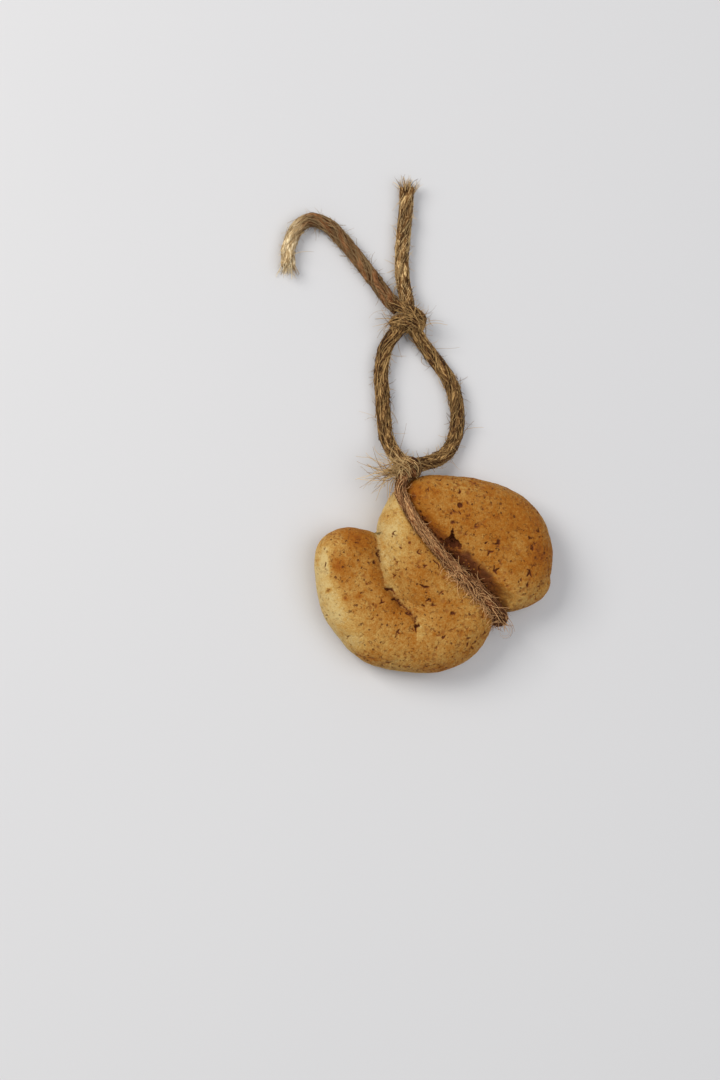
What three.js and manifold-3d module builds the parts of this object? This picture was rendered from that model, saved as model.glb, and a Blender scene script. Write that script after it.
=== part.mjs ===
// An S-shaped spiced biscuit with its jute hanging twine, in millimetres, +Z up.
//
// The biscuit is a fat rope of dough bent into a tight letter S: a left hook, a middle stroke and a
// right hook, baked together into one piece. It lies on its flat base with the shown face up. One
// turn of twine runs down the right-hand crease, round the edge and back along the base. It is tied
// at the top edge, from where two strands lead to a second knot with two loose ends.
import * as THREE from 'three';
import { mergeVertices } from 'three/addons/utils/BufferGeometryUtils.js';
import Module from 'manifold-3d';

const wasm = await Module();
wasm.setup();

// Biscuit
const STROKE_TILT = THREE.MathUtils.degToRad(33.8); // of the line across the three strokes, from +X
const WIDEST_HEIGHT = 5.2;      // of the biscuit's widest line above its base
const CROWN_POWER = 2.35;       // roundness of a stroke's top: 2 is an ellipse, more is flatter
const BASE_INSET = 0.6;         // how far out across a stroke its base stays flat
const BASE_POWER = 2;
const ROPE_STEPS = 12;          // discs sampled along each stretch of the rope
const BEYOND_OUTLINE = 40;      // a radius that lies outside the biscuit all round
const FOLD_BLEND = 1.2;         // roundness of the fold where two strokes meet

// The crease that the twine lies in
const VALLEY_RISE = 4.6;        // height gained at one half-width from its floor
const VALLEY_LEFT = 2.5;        // half-width on the middle stroke's side
const VALLEY_RIGHT = 4.6;       // half-width on the right hook's side
const VALLEY_BLEND = 1.6;       // roundness of its upper edges

// Twine
const TWINE_RADIUS = 1.8;
const TWINE_SIDES = 8;
const TWINE_GAP = 0.35;         // clear space left between the twine and the biscuit
const TWINE_BED = 1.45;         // height of the twine's centre above the valley's floor
const BASE_RUN_HEIGHT = 1.95;   // of the twine's centre along the base
const BASE_CHANNEL_RADIUS = 3.2;
const BASE_CHANNEL_HEIGHT = 0.9;
const FLOOR_RUN_HEIGHT = 1.9;   // of the centre of twine that lies on the floor

// A knot, as shares of its half-size, and the lean of its two turns
const KNOT_CORE = 0.84;
const KNOT_TWINE = 0.41;
const KNOT_TURNS = [0.95, -0.8];

// Mesh fineness of the biscuit
const SPOKES = 96;
const ROUND_CORE = 16;          // radius of the even rings that the outer rings grow out of
const TOP_RINGS = 21;
const BASE_RINGS = 8;

// Mesh fineness of the twine
const WRAP_STEPS = 48;
const CHANNEL_STEPS = 16;
const STRAND_STEP = 4;

const doughColour = new THREE.MeshStandardMaterial({ color: 0xa9773a, roughness: 0.85, metalness: 0 });
const twineColour = new THREE.MeshStandardMaterial({ color: 0x9a7c55, roughness: 0.95, metalness: 0 });

// The rope of dough. Each row is [across the strokes, along them, half-width, height of its crown].
const LEFT_HOOK = [
  [-15.9, -11.8, 10.3, 11.4],
  [-17.1, -14.8, 8.6, 12.2],
  [-19.5, -5.3, 10.9, 12.8],
  [-19.2, 5.0, 9.8, 13.0],
  [-16.6, 8.1, 9.4, 13.2],
  [-10.4, 12.6, 9.8, 13.4],
  [-5.6, 13.1, 10.7, 13.6],
  [-1.2, 12.8, 9.5, 13.8],
];
const MIDDLE_STROKE = [
  [-1.2, 12.8, 9.5, 13.8],
  [-2.4, 5.4, 9.0, 14.4],
  [-3.5, -2.6, 8.4, 14.6],
  [-2.6, -9.1, 7.9, 14.2],
  [0.6, -13.4, 7.6, 13.4],
];
const RIGHT_HOOK = [
  [0.6, -13.4, 7.6, 13.4],
  [6.4, -14.0, 9.7, 13.6],
  [12.7, -9.3, 10.6, 14.2],
  [16.6, -4.1, 12.1, 14.6],
  [19.1, 3.0, 13.5, 14.6],
  [18.6, 8.2, 11.8, 14.4],
  [15.0, 12.9, 7.7, 13.8],
  [20.4, 15.8, 5.6, 10.8],
];

// The crease's line from the tied edge to the lower right edge: [x, y, height of its floor]
const CREASE = [
  [-9.9, 24.6, 8.0],
  [-9.8, 20.8, 9.4],
  [-8.3, 16.6, 10.2],
  [-5.7, 12.2, 10.5],
  [-1.4, 6.8, 10.4],
  [2.9, 2.0, 10.1],
  [7.6, -2.4, 9.6],
  [12.5, -6.6, 8.7],
  [16.3, -10.2, 7.0],
];

// The wrap beyond the crease: out of the knot, round the lower right edge, and up into the knot.
const WRAP_START = [[-9.3, 23.4, 10.2]];
const WRAP_EDGE = [
  [16.4, -10.4, 8.4],
  [17.8, -11.7, 5.5],
  [16.5, -10.5, 2.6],
];
const WRAP_END = [
  [-7.6, 20.8, 2.0],
  [-6.9, 24.4, 2.4],
  [-7.0, 26.6, 3.6],
  [-7.3, 27.0, 5.0],
];

// Knots and twine that lie free. Each row is [x, y, z] of the twine's centre.
const LOWER_KNOT = { centre: [-7.8, 26.6, 8.3], halfSize: [3.0, 2.9, 2.9], turned: 0.5 };
const UPPER_KNOT = { centre: [-6.4, 67.6, 3.8], halfSize: [5.0, 3.9, 3.7], turned: -0.5 };
const LEFT_STRAND = [
  [-9.4, 29.6, 7.0],
  [-10.9, 32.6, 4.5],
  [-11.9, 36.6, 2.6],
  [-12.2, 41.0, FLOOR_RUN_HEIGHT],
  [-12.6, 46.5, FLOOR_RUN_HEIGHT],
  [-13.0, 52.0, FLOOR_RUN_HEIGHT],
  [-12.4, 57.4, FLOOR_RUN_HEIGHT],
  [-11.0, 61.2, 2.2],
  [-9.1, 63.9, 2.7],
];
const RIGHT_STRAND = [
  [-4.6, 27.9, 7.4],
  [-1.3, 28.9, 5.4],
  [2.6, 30.6, 3.4],
  [5.6, 33.6, FLOOR_RUN_HEIGHT],
  [7.3, 38.2, FLOOR_RUN_HEIGHT],
  [7.6, 43.0, FLOOR_RUN_HEIGHT],
  [6.8, 47.8, FLOOR_RUN_HEIGHT],
  [4.8, 52.4, FLOOR_RUN_HEIGHT],
  [1.8, 56.6, FLOOR_RUN_HEIGHT],
  [-1.2, 60.3, 2.2],
  [-3.6, 63.5, 2.8],
];
const CURLED_END = [
  [-10.4, 71.4, 3.0],
  [-12.8, 74.9, 2.1],
  [-16.2, 79.4, FLOOR_RUN_HEIGHT],
  [-19.8, 83.8, FLOOR_RUN_HEIGHT],
  [-23.4, 88.0, FLOOR_RUN_HEIGHT],
  [-27.2, 91.6, FLOOR_RUN_HEIGHT],
  [-31.6, 93.0, FLOOR_RUN_HEIGHT],
  [-35.4, 90.6, FLOOR_RUN_HEIGHT],
  [-37.4, 86.0, FLOOR_RUN_HEIGHT],
  [-38.0, 80.4, FLOOR_RUN_HEIGHT],
];
const STRAIGHT_END = [
  [-6.2, 72.0, 3.4],
  [-6.9, 76.0, 2.2],
  [-7.3, 81.5, FLOOR_RUN_HEIGHT],
  [-7.1, 87.5, FLOOR_RUN_HEIGHT],
  [-6.5, 94.0, FLOOR_RUN_HEIGHT],
  [-5.8, 102.6, FLOOR_RUN_HEIGHT],
];

// ---------------------------------------------------------------- biscuit's surface

// Discs along one stroke, smoothly between its rows and turned into the part's own X and Y.
function ropeDiscs(rows) {
  const places = new THREE.CatmullRomCurve3(rows.map(([across, along, half]) => new THREE.Vector3(across, along, half)));
  const crowns = new THREE.CatmullRomCurve3(rows.map((row) => new THREE.Vector3(row[3], 0, 0)));
  const count = ROPE_STEPS * (rows.length - 1);
  const discs = [];
  for (let i = 0; i <= count; i++) {
    const place = places.getPoint(i / count);
    discs.push({
      x: place.x * Math.cos(STROKE_TILT) + place.y * Math.sin(STROKE_TILT),
      y: place.x * Math.sin(STROKE_TILT) - place.y * Math.cos(STROKE_TILT),
      half: place.z,
      crown: crowns.getPoint(i / count).x,
    });
  }
  return discs;
}

const STROKES = [LEFT_HOOK, MIDDLE_STROKE, RIGHT_HOOK].map(ropeDiscs);
const DISCS = STROKES.flat();

// How far out a point is across the nearest stroke: 0 on its centreline, 1 on the outline.
function reach(x, y) {
  return Math.min(...DISCS.map((disc) => Math.hypot(x - disc.x, y - disc.y) / disc.half));
}

function strokeHeight(stroke, x, y) {
  let height = WIDEST_HEIGHT;
  for (const disc of stroke) {
    const out = Math.hypot(x - disc.x, y - disc.y) / disc.half;
    if (out < 1) {
      const dome = (1 - out ** CROWN_POWER) ** (1 / CROWN_POWER);
      height = Math.max(height, WIDEST_HEIGHT + (disc.crown - WIDEST_HEIGHT) * dome);
    }
  }
  return height;
}

function smoothMin(a, b, blend) {
  const near = Math.max(blend - Math.abs(a - b), 0) / blend;
  return Math.min(a, b) - near * near * blend / 4;
}

function smoothMax(a, b, blend) {
  return -smoothMin(-a, -b, blend);
}

// Height of the crowned strokes, which meet in creases.
function crownHeight(x, y) {
  const [left, middle, right] = STROKES.map((stroke) => strokeHeight(stroke, x, y));
  return smoothMax(smoothMax(left, middle, FOLD_BLEND), right, FOLD_BLEND);
}

const CREASE_LINE = new THREE.CatmullRomCurve3(CREASE.map((row) => new THREE.Vector3(...row)));
const CREASE_SAMPLES = CREASE_LINE.getSpacedPoints(96);

// Height of the twine's valley over a point: a trough along the crease, wider on the right.
function valleyHeight(x, y) {
  let nearest = 0;
  let distance = Infinity;
  CREASE_SAMPLES.forEach((sample, i) => {
    const gap = Math.hypot(x - sample.x, y - sample.y);
    if (gap < distance) {
      distance = gap;
      nearest = i;
    }
  });
  const before = CREASE_SAMPLES[Math.max(nearest - 1, 0)];
  const after = CREASE_SAMPLES[Math.min(nearest + 1, CREASE_SAMPLES.length - 1)];
  const side = (after.x - before.x) * (y - before.y) - (after.y - before.y) * (x - before.x);
  const half = side > 0 ? VALLEY_RIGHT : VALLEY_LEFT;
  return CREASE_SAMPLES[nearest].z + VALLEY_RISE * (distance / half) ** 2;
}

function topHeight(x, y) {
  return Math.max(WIDEST_HEIGHT, smoothMin(crownHeight(x, y), valleyHeight(x, y), VALLEY_BLEND));
}

function baseHeight(x, y) {
  const out = THREE.MathUtils.clamp((reach(x, y) - BASE_INSET) / (1 - BASE_INSET), 0, 1);
  return WIDEST_HEIGHT * (1 - (1 - out ** BASE_POWER) ** (1 / BASE_POWER));
}

// Distance from the middle of the biscuit to its outline in one direction.
function outlineRadius(angle) {
  const step = 0.25;
  let inside = BEYOND_OUTLINE;
  while (reach(inside * Math.cos(angle), inside * Math.sin(angle)) > 1) inside -= step;
  let outside = inside + step;
  for (let i = 0; i < 20; i++) {
    const middle = (inside + outside) / 2;
    if (reach(middle * Math.cos(angle), middle * Math.sin(angle)) > 1) outside = middle;
    else inside = middle;
  }
  return inside;
}

// The closed surface: rings from the middle of the face out to the outline and back under the base.
function biscuitGeometry() {
  const positions = [];
  const addPoint = (x, y, z) => positions.push(x, y, z) / 3 - 1;
  const angles = Array.from({ length: SPOKES }, (_, i) => 2 * Math.PI * i / SPOKES);
  const radii = angles.map(outlineRadius);
  const addRing = (share, height) => angles.map((angle, i) => {
    const radius = share * THREE.MathUtils.lerp(ROUND_CORE, radii[i], share ** 2);
    const x = radius * Math.cos(angle);
    const y = radius * Math.sin(angle);
    return addPoint(x, y, height(x, y));
  });
  const rings = [];
  for (let i = 1; i < TOP_RINGS; i++) rings.push(addRing(Math.sin(Math.PI / 2 * i / TOP_RINGS), topHeight));
  rings.push(addRing(1, () => WIDEST_HEIGHT));
  for (let i = BASE_RINGS - 1; i > 0; i--) rings.push(addRing(Math.sin(Math.PI / 2 * i / BASE_RINGS), baseHeight));
  const faceMiddle = addPoint(0, 0, topHeight(0, 0));
  const baseMiddle = addPoint(0, 0, baseHeight(0, 0));

  const triangles = [];
  for (let i = 0; i < SPOKES; i++) {
    const next = (i + 1) % SPOKES;
    triangles.push(faceMiddle, rings[0][i], rings[0][next]);
    for (let k = 0; k + 1 < rings.length; k++) {
      const [inner, outer] = [rings[k], rings[k + 1]];
      triangles.push(inner[i], outer[i], outer[next], inner[i], outer[next], inner[next]);
    }
    const last = rings[rings.length - 1];
    triangles.push(last[i], baseMiddle, last[next]);
  }
  const geometry = new THREE.BufferGeometry();
  geometry.setAttribute('position', new THREE.Float32BufferAttribute(positions, 3));
  geometry.setIndex(triangles);
  return geometry;
}

// ---------------------------------------------------------------- cuts and joins

function toSolid(geometry) {
  const bare = geometry.clone();
  bare.deleteAttribute('normal');
  bare.deleteAttribute('uv');
  const merged = mergeVertices(bare, 1e-4);
  return new wasm.Manifold(new wasm.Mesh({
    numProp: 3,
    vertProperties: new Float32Array(merged.attributes.position.array),
    triVerts: new Uint32Array(merged.index.array),
  }));
}

function toGeometry(solid) {
  const mesh = solid.getMesh();
  const geometry = new THREE.BufferGeometry();
  geometry.setAttribute('position', new THREE.Float32BufferAttribute(mesh.vertProperties, 3));
  geometry.setIndex(new THREE.Uint32BufferAttribute(mesh.triVerts, 1));
  geometry.computeVertexNormals();
  return geometry;
}

// ---------------------------------------------------------------- twine

function tubeGeometry(rows, radius, steps) {
  const section = new THREE.Shape(Array.from({ length: TWINE_SIDES }, (_, i) => {
    const angle = 2 * Math.PI * (i + 0.5) / TWINE_SIDES;
    return new THREE.Vector2(radius * Math.cos(angle), radius * Math.sin(angle));
  }));
  const path = new THREE.CatmullRomCurve3(rows.map((row) => new THREE.Vector3(...row)), false, 'centripetal');
  return new THREE.ExtrudeGeometry(section, { steps, bevelEnabled: false, extrudePath: path });
}

// The turn of twine round the biscuit: down the crease, round the edge, back along the base.
function wrapRoute() {
  const face = CREASE.slice(1, -1).map(([x, y, floor]) => [x, y, floor + TWINE_BED]);
  const base = CREASE.slice(2, -1).reverse().map(([x, y]) => [x, y, BASE_RUN_HEIGHT]);
  return [...WRAP_START, ...face, ...WRAP_EDGE, ...base, ...WRAP_END];
}

// The channel along the base, carried on past the biscuit's edge at both ends.
function baseChannelRoute() {
  const carryOn = (from, to) => [2 * to[0] - from[0], 2 * to[1] - from[1]];
  const rows = [WRAP_END[1], WRAP_END[0], ...CREASE.slice(2)];
  const start = carryOn(rows[1], rows[0]);
  const end = carryOn(CREASE[CREASE.length - 3], CREASE[CREASE.length - 1]);
  return [start, ...rows, end].map(([x, y]) => [x, y, BASE_CHANNEL_HEIGHT]);
}

// A tied knot: a core with two turns of twine drawn tight across each other, of unit half-size.
function knotGeometry({ halfSize, turned }) {
  let knot = toSolid(new THREE.SphereGeometry(KNOT_CORE, 14, 10));
  for (const lean of KNOT_TURNS) {
    const turn = new THREE.TorusGeometry(1 - KNOT_TWINE, KNOT_TWINE, 8, 16);
    turn.rotateX(Math.PI / 2);
    turn.rotateY(lean);
    turn.rotateZ(turned + lean);
    knot = knot.add(toSolid(turn));
  }
  return toGeometry(knot).scale(...halfSize);
}

// ---------------------------------------------------------------- the part

function named(name, geometry, material) {
  const mesh = new THREE.Mesh(geometry, material);
  mesh.name = name;
  return mesh;
}

function knot(name, form) {
  const mesh = named(name, knotGeometry(form), twineColour);
  mesh.position.set(...form.centre);
  return mesh;
}

function lowerKnotCutter() {
  const { centre, halfSize } = LOWER_KNOT;
  return new THREE.SphereGeometry(Math.max(...halfSize) + TWINE_GAP, 16, 12).translate(...centre);
}

function cookie() {
  const cutters = [
    tubeGeometry(wrapRoute(), TWINE_RADIUS + TWINE_GAP, WRAP_STEPS),
    tubeGeometry(baseChannelRoute(), BASE_CHANNEL_RADIUS, CHANNEL_STEPS),
    lowerKnotCutter(),
  ];
  let solid = toSolid(biscuitGeometry());
  for (const cutter of cutters) solid = solid.subtract(toSolid(cutter));
  return named('cookie', toGeometry(solid), doughColour);
}

function strand(name, route) {
  const length = new THREE.CatmullRomCurve3(route.map((row) => new THREE.Vector3(...row))).getLength();
  return named(name, tubeGeometry(route, TWINE_RADIUS, Math.round(length / STRAND_STEP)), twineColour);
}

// The biscuit with the turn of twine that it holds, and the twine that lies free beyond it.
const held = new THREE.Group();
held.add(
  cookie(),
  named('twine_wrap', tubeGeometry(wrapRoute(), TWINE_RADIUS, WRAP_STEPS), twineColour),
  knot('lower_knot', LOWER_KNOT),
);
const free = new THREE.Group();
free.add(
  strand('left_strand', LEFT_STRAND),
  strand('right_strand', RIGHT_STRAND),
  knot('upper_knot', UPPER_KNOT),
  strand('curled_end', CURLED_END),
  strand('straight_end', STRAIGHT_END),
);

// The origin is at the bottom centre of what the biscuit holds.
const box = new THREE.Box3().setFromObject(held);
const part = new THREE.Group();
part.name = 's_shaped_biscuit';
part.add(held, free);
part.position.set(-(box.min.x + box.max.x) / 2, -(box.min.y + box.max.y) / 2, -box.min.z);

export default part;
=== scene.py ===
# An S-shaped spiced biscuit and the jute twine that it hangs by, laid out on a pale floor.
import math

import bmesh
import bpy
import numpy as np
from mathutils import Matrix, Vector, noise
from mathutils.kdtree import KDTree


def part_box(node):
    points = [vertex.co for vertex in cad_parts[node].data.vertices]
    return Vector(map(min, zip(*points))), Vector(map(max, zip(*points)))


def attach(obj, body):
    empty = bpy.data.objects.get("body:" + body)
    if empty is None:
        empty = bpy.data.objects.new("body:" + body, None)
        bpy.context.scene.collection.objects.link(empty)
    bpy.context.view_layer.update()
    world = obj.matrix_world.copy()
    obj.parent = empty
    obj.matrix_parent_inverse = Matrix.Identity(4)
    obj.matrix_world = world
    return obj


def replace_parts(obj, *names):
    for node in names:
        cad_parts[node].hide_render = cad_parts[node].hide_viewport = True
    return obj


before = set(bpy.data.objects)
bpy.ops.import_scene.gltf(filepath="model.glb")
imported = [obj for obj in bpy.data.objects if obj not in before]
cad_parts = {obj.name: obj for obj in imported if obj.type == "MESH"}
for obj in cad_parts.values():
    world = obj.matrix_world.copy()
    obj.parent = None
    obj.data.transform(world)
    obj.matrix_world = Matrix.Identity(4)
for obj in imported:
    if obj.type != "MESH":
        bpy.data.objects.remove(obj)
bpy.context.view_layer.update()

BODY = "root"
MM = 0.001  # the named sizes below are in millimetres, as a baker's and a twine maker's are

# ------------------------------------------------------------------ named sizes: biscuit

STROKE_TILT = math.radians(33.8)  # of the line across the three strokes, from +X
WIDEST_HEIGHT = 5.2               # of the biscuit's widest line above its base
CROWN_POWER = 2.35                # roundness of a stroke's top: 2 is an ellipse, more is flatter
BASE_INSET = 0.6                  # how far out across a stroke its base stays flat
FOLD_BLEND = 1.2                  # roundness of the fold where two strokes meet
BEYOND_OUTLINE = 40               # a radius that lies outside the biscuit all round
WELL_INSIDE = 5                   # and one that lies inside it
CURVE_STEPS = 12                  # points that a smooth curve has for each stretch between two rows

# The rope of dough. Each row is [across the strokes, along them, half-width, height of its crown].
LEFT_TURN = [-1.2, 12.8, 9.5, 13.8]    # where the left hook goes over into the middle stroke
RIGHT_TURN = [0.6, -13.4, 7.6, 13.4]   # and the middle stroke into the right hook
LEFT_HOOK = [
    [-15.9, -11.8, 10.3, 11.4],
    [-17.1, -14.8, 8.6, 12.2],
    [-19.5, -5.3, 10.9, 12.8],
    [-19.2, 5.0, 9.8, 13.0],
    [-16.6, 8.1, 9.4, 13.2],
    [-10.4, 12.6, 9.8, 13.4],
    [-5.6, 13.1, 10.7, 13.6],
    LEFT_TURN,
]
MIDDLE_STROKE = [
    LEFT_TURN,
    [-2.4, 5.4, 9.0, 14.4],
    [-3.5, -2.6, 8.4, 14.6],
    [-2.6, -9.1, 7.9, 14.2],
    RIGHT_TURN,
]
RIGHT_HOOK = [
    RIGHT_TURN,
    [6.4, -14.0, 9.7, 13.6],
    [12.7, -9.3, 10.6, 14.2],
    [16.6, -4.1, 12.1, 14.6],
    [19.1, 3.0, 13.5, 14.6],
    [18.6, 8.2, 11.8, 14.4],
    [15.0, 12.9, 7.7, 13.8],
    [20.4, 15.8, 5.6, 10.8],
]

# The crease that the twine lies in: [x, y, height of its floor]
CREASE = [
    [-9.9, 24.6, 8.0],
    [-9.8, 20.8, 9.4],
    [-8.3, 16.6, 10.2],
    [-5.7, 12.2, 10.5],
    [-1.4, 6.8, 10.4],
    [2.9, 2.0, 10.1],
    [7.6, -2.4, 9.6],
    [12.5, -6.6, 8.7],
    [16.3, -10.2, 7.0],
]
VALLEY_RISE = 4.6     # of the crease's sides, over its half-width
VALLEY_LEFT = 2.5     # half-width of the crease on its left
VALLEY_RIGHT = 4.6    # and on its right
VALLEY_BLEND = 1.6    # roundness of its upper edges

# Fineness of the biscuit's surface
SHOWN_RINGS = 165
BASE_RINGS = 75
RING_SPOKES = 6       # points that each ring has more than the ring inside it
OUTLINE_STEPS = 1440  # directions in which the outline is found
OUTLINE_STRIDE = 0.25  # of the first search for it, inwards
OUTLINE_HALVINGS = 16  # of that stride, to close in on it
RING_RAYS = 240       # directions in which the rings are spaced
RAY_STEPS = 300       # by which each is measured
INNER_SMOOTHING = 10  # degrees to each side over which the inner line has no notch
INNER_INSET = 0.93    # how far out it lies
INNER_RINGS = 0.72    # share of the rings that are inside it

# ------------------------------------------------------------------ named sizes: twine

TWINE_RADIUS = 1.8
TWINE_BED = 1.45      # height of the twine's middle over the floor of the crease
BASE_RUN_HEIGHT = 1.95
BASE_CHANNEL_RADIUS = 3.2
BASE_CHANNEL_HEIGHT = 0.9
BASE_CHANNEL_BLEND = 0.8
PRESSED = 0.94        # radius of the bed that the twine presses into the crust, as a share of its own
FLOOR_RUN_HEIGHT = 1.9  # of the middle of a twine that lies on the floor
PLIES = 3
PLY_PITCH = 22.0      # along the twine, for one full turn of its plies
PLY_SIDES = 18
PLY_STEP = 0.4
KNOT_PITCH = 9.0
KNOT_STEP = 0.3
WRAP_PITCH = 30.0     # pulled tight, the plies straighten out
WRAP_THIN = 0.8       # share of its radius that the wrap keeps where it is pulled tight
WRAP_THICK = 1.12     # and where it swells
INTO_KNOT = 2.4       # how far a strand runs on inside the knot that holds it
KNOT_ROOM = 3.0       # radius of the room that the crust leaves for the lower knot

WRAP_START = [[-9.3, 23.4, 10.2]]
WRAP_EDGE = [[16.4, -10.4, 8.4], [17.8, -11.7, 5.5], [16.5, -10.5, 2.6]]
WRAP_END = [[-7.6, 20.8, 2.0], [-6.9, 24.4, 2.4], [-7.0, 26.6, 3.6], [-7.3, 27.0, 5.0]]
LOWER_KNOT = {
    "centre": [-7.8, 26.6, 8.3],
    "rope": 1.15,
    "routes": [
        [[-10.0, 29.2, 7.2], [-8.4, 28.9, 9.2], [-6.2, 28.4, 10.1], [-4.9, 27.3, 9.3], [-4.8, 26.0, 7.8],
         [-6.0, 25.1, 6.6], [-8.2, 25.2, 6.3], [-10.0, 26.3, 7.2], [-10.1, 27.3, 9.0], [-8.6, 27.1, 10.3],
         [-7.0, 26.0, 10.3], [-6.2, 24.9, 9.4]],
        [[-5.4, 28.4, 7.0], [-7.4, 28.0, 7.6], [-9.4, 27.4, 8.2], [-9.8, 25.9, 8.6], [-8.6, 24.8, 9.2]],
    ],
}
UPPER_KNOT = {
    "centre": [-6.4, 67.6, 3.8],
    "rope": 1.45,
    "routes": [
        [[-10.6, 71.6, 3.0], [-8.6, 70.3, 4.8], [-6.2, 69.0, 5.9], [-3.9, 67.8, 5.7], [-2.7, 66.8, 4.0],
         [-3.4, 65.9, 2.2], [-6.0, 65.4, 1.6], [-8.8, 65.6, 2.4], [-9.9, 66.2, 4.2], [-8.4, 66.4, 5.8],
         [-6.0, 66.0, 6.2], [-3.8, 65.4, 5.2], [-3.2, 65.0, 3.4]],
        [[-6.2, 71.8, 3.4], [-6.0, 69.6, 3.6], [-5.4, 67.6, 3.4], [-6.6, 65.6, 3.4], [-8.6, 64.4, 3.0]],
    ],
}
# Lines of the free lengths. A row without a height lies on the floor.
LEFT_STRAND = [
    [-9.4, 29.6, 7.0],
    [-10.9, 32.6, 4.5],
    [-11.9, 36.6, 2.6],
    [-12.2, 41.0],
    [-12.6, 46.5],
    [-13.0, 52.0],
    [-12.4, 57.4],
    [-11.0, 61.2, 2.2],
    [-9.1, 63.9, 2.7],
]
RIGHT_STRAND = [
    [-4.6, 27.9, 7.4],
    [-1.3, 28.9, 5.4],
    [2.6, 30.6, 3.4],
    [5.6, 33.6],
    [7.3, 38.2],
    [7.6, 43.0],
    [6.8, 47.8],
    [4.8, 52.4],
    [1.8, 56.6],
    [-1.2, 60.3, 2.2],
    [-3.6, 63.5, 2.8],
]
CURLED_END = [
    [-10.4, 71.4, 3.0],
    [-12.8, 74.9, 2.1],
    [-16.2, 79.4],
    [-19.8, 83.8],
    [-23.4, 88.0],
    [-27.2, 91.6],
    [-31.6, 93.0],
    [-35.4, 90.6],
    [-37.4, 86.0],
    [-38.0, 80.4],
]
STRAIGHT_END = [
    [-6.2, 72.0, 3.4],
    [-6.9, 76.0, 2.2],
    [-7.3, 81.5],
    [-7.1, 87.5],
    [-6.5, 94.0],
    [-5.8, 102.6],
]

# ------------------------------------------------------------------ curves


def smooth_curve(rows):
    """Points of a smooth curve through the rows, closer together where the rows are."""
    rows = np.asarray(rows, float)
    ends = np.vstack([2 * rows[0] - rows[1], rows, 2 * rows[-1] - rows[-2]])
    share = np.linspace(0, 1, CURVE_STEPS + 1)[:-1, None]
    spans = []
    for before, start, stop, after in zip(ends, ends[1:], ends[2:], ends[3:]):
        pairs = ((before, start), (start, stop), (stop, after))
        knots = [math.sqrt(np.linalg.norm(b - a)) for a, b in pairs]
        here = knots[1] if knots[1] > 1e-4 else 1.0
        back = knots[0] if knots[0] > 1e-4 else here
        on = knots[2] if knots[2] > 1e-4 else here
        leaving = here * ((start - before) / back - (stop - before) / (back + here) + (stop - start) / here)
        arriving = here * ((stop - start) / here - (after - start) / (here + on) + (after - stop) / on)
        spans.append(
            start
            + leaving * share
            + (3 * (stop - start) - 2 * leaving - arriving) * share**2
            + (2 * (start - stop) + leaving + arriving) * share**3
        )
    return np.vstack([*spans, rows[-1:]])


def lengths_along(points):
    return np.concatenate([[0], np.cumsum(np.linalg.norm(np.diff(points, axis=0), axis=1))])


def evenly(rows, step, axes=3):
    """The same line with rows about one step apart; the first axes numbers of a row are its place."""
    rows = np.asarray(rows, float)
    along = lengths_along(rows[:, :axes])
    places = np.linspace(0, along[-1], max(2, round(along[-1] / step) + 1))
    return np.stack([np.interp(places, along, column) for column in rows.T], axis=1)


def unit(vectors):
    return vectors / np.maximum(np.linalg.norm(vectors, axis=-1, keepdims=True), 1e-9)


def soft_step(low, high, value):
    share = np.clip((value - low) / (high - low), 0, 1)
    return share * share * (3 - 2 * share)


def carried_frames(points):
    """Tangents and two crosswise directions that turn no more than the line does."""
    tangents = unit(np.gradient(points, axis=0))
    first = np.cross(tangents[0], [0.0, 0.0, 1.0])
    if np.linalg.norm(first) < 0.1:
        first = np.cross(tangents[0], [1.0, 0.0, 0.0])
    sides = [first / np.linalg.norm(first)]
    for tangent in tangents[1:]:
        side = sides[-1] - tangent * np.dot(sides[-1], tangent)
        sides.append(side / np.linalg.norm(side))
    sides = np.array(sides)
    return tangents, sides, np.cross(tangents, sides)


def soft_noise(rng, places, wavelength):
    """Smooth random numbers of about unit size along a line."""
    total = np.zeros(np.shape(places))
    for stretch in (0.61, 1.0, 1.73):
        size = rng.uniform(0.6, 1.0)
        phase = rng.uniform(0, 2 * math.pi)
        total += size * np.sin(2 * math.pi * places / (wavelength * stretch) + phase)
    return total / 1.6


# ------------------------------------------------------------------ biscuit's form


def rope_discs(rows):
    """[x, y, half-width, crown] of the discs along one stroke."""
    rows = np.asarray(rows, float)
    places = smooth_curve(rows[:, :3])
    crowns = smooth_curve(rows[:, 3:])
    across, along, half = places.T
    x = across * math.cos(STROKE_TILT) + along * math.sin(STROKE_TILT)
    y = across * math.sin(STROKE_TILT) - along * math.cos(STROKE_TILT)
    return np.stack([x, y, half, crowns[:, 0]], axis=1)


STROKES = [rope_discs(rows) for rows in (LEFT_HOOK, MIDDLE_STROKE, RIGHT_HOOK)]


def reach_over(discs, x, y):
    return np.hypot(x[..., None] - discs[:, 0], y[..., None] - discs[:, 1]) / discs[:, 2]


def reach(x, y):
    """How far out a point is across its stroke: 0 on the centreline, 1 on the outline."""
    return np.min([reach_over(discs, x, y).min(-1) for discs in STROKES], axis=0)


def stroke_height(discs, x, y):
    out = np.clip(reach_over(discs, x, y), 0, 1)
    dome = (1 - out**CROWN_POWER) ** (1 / CROWN_POWER)
    return (WIDEST_HEIGHT + (discs[:, 3] - WIDEST_HEIGHT) * dome).max(-1)


def smooth_min(a, b, blend):
    near = np.maximum(blend - np.abs(a - b), 0) / blend
    return np.minimum(a, b) - near**2 * blend / 4


def smooth_max(a, b, blend):
    return -smooth_min(-a, -b, blend)


CREASE_LINE = smooth_curve(CREASE)


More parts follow.
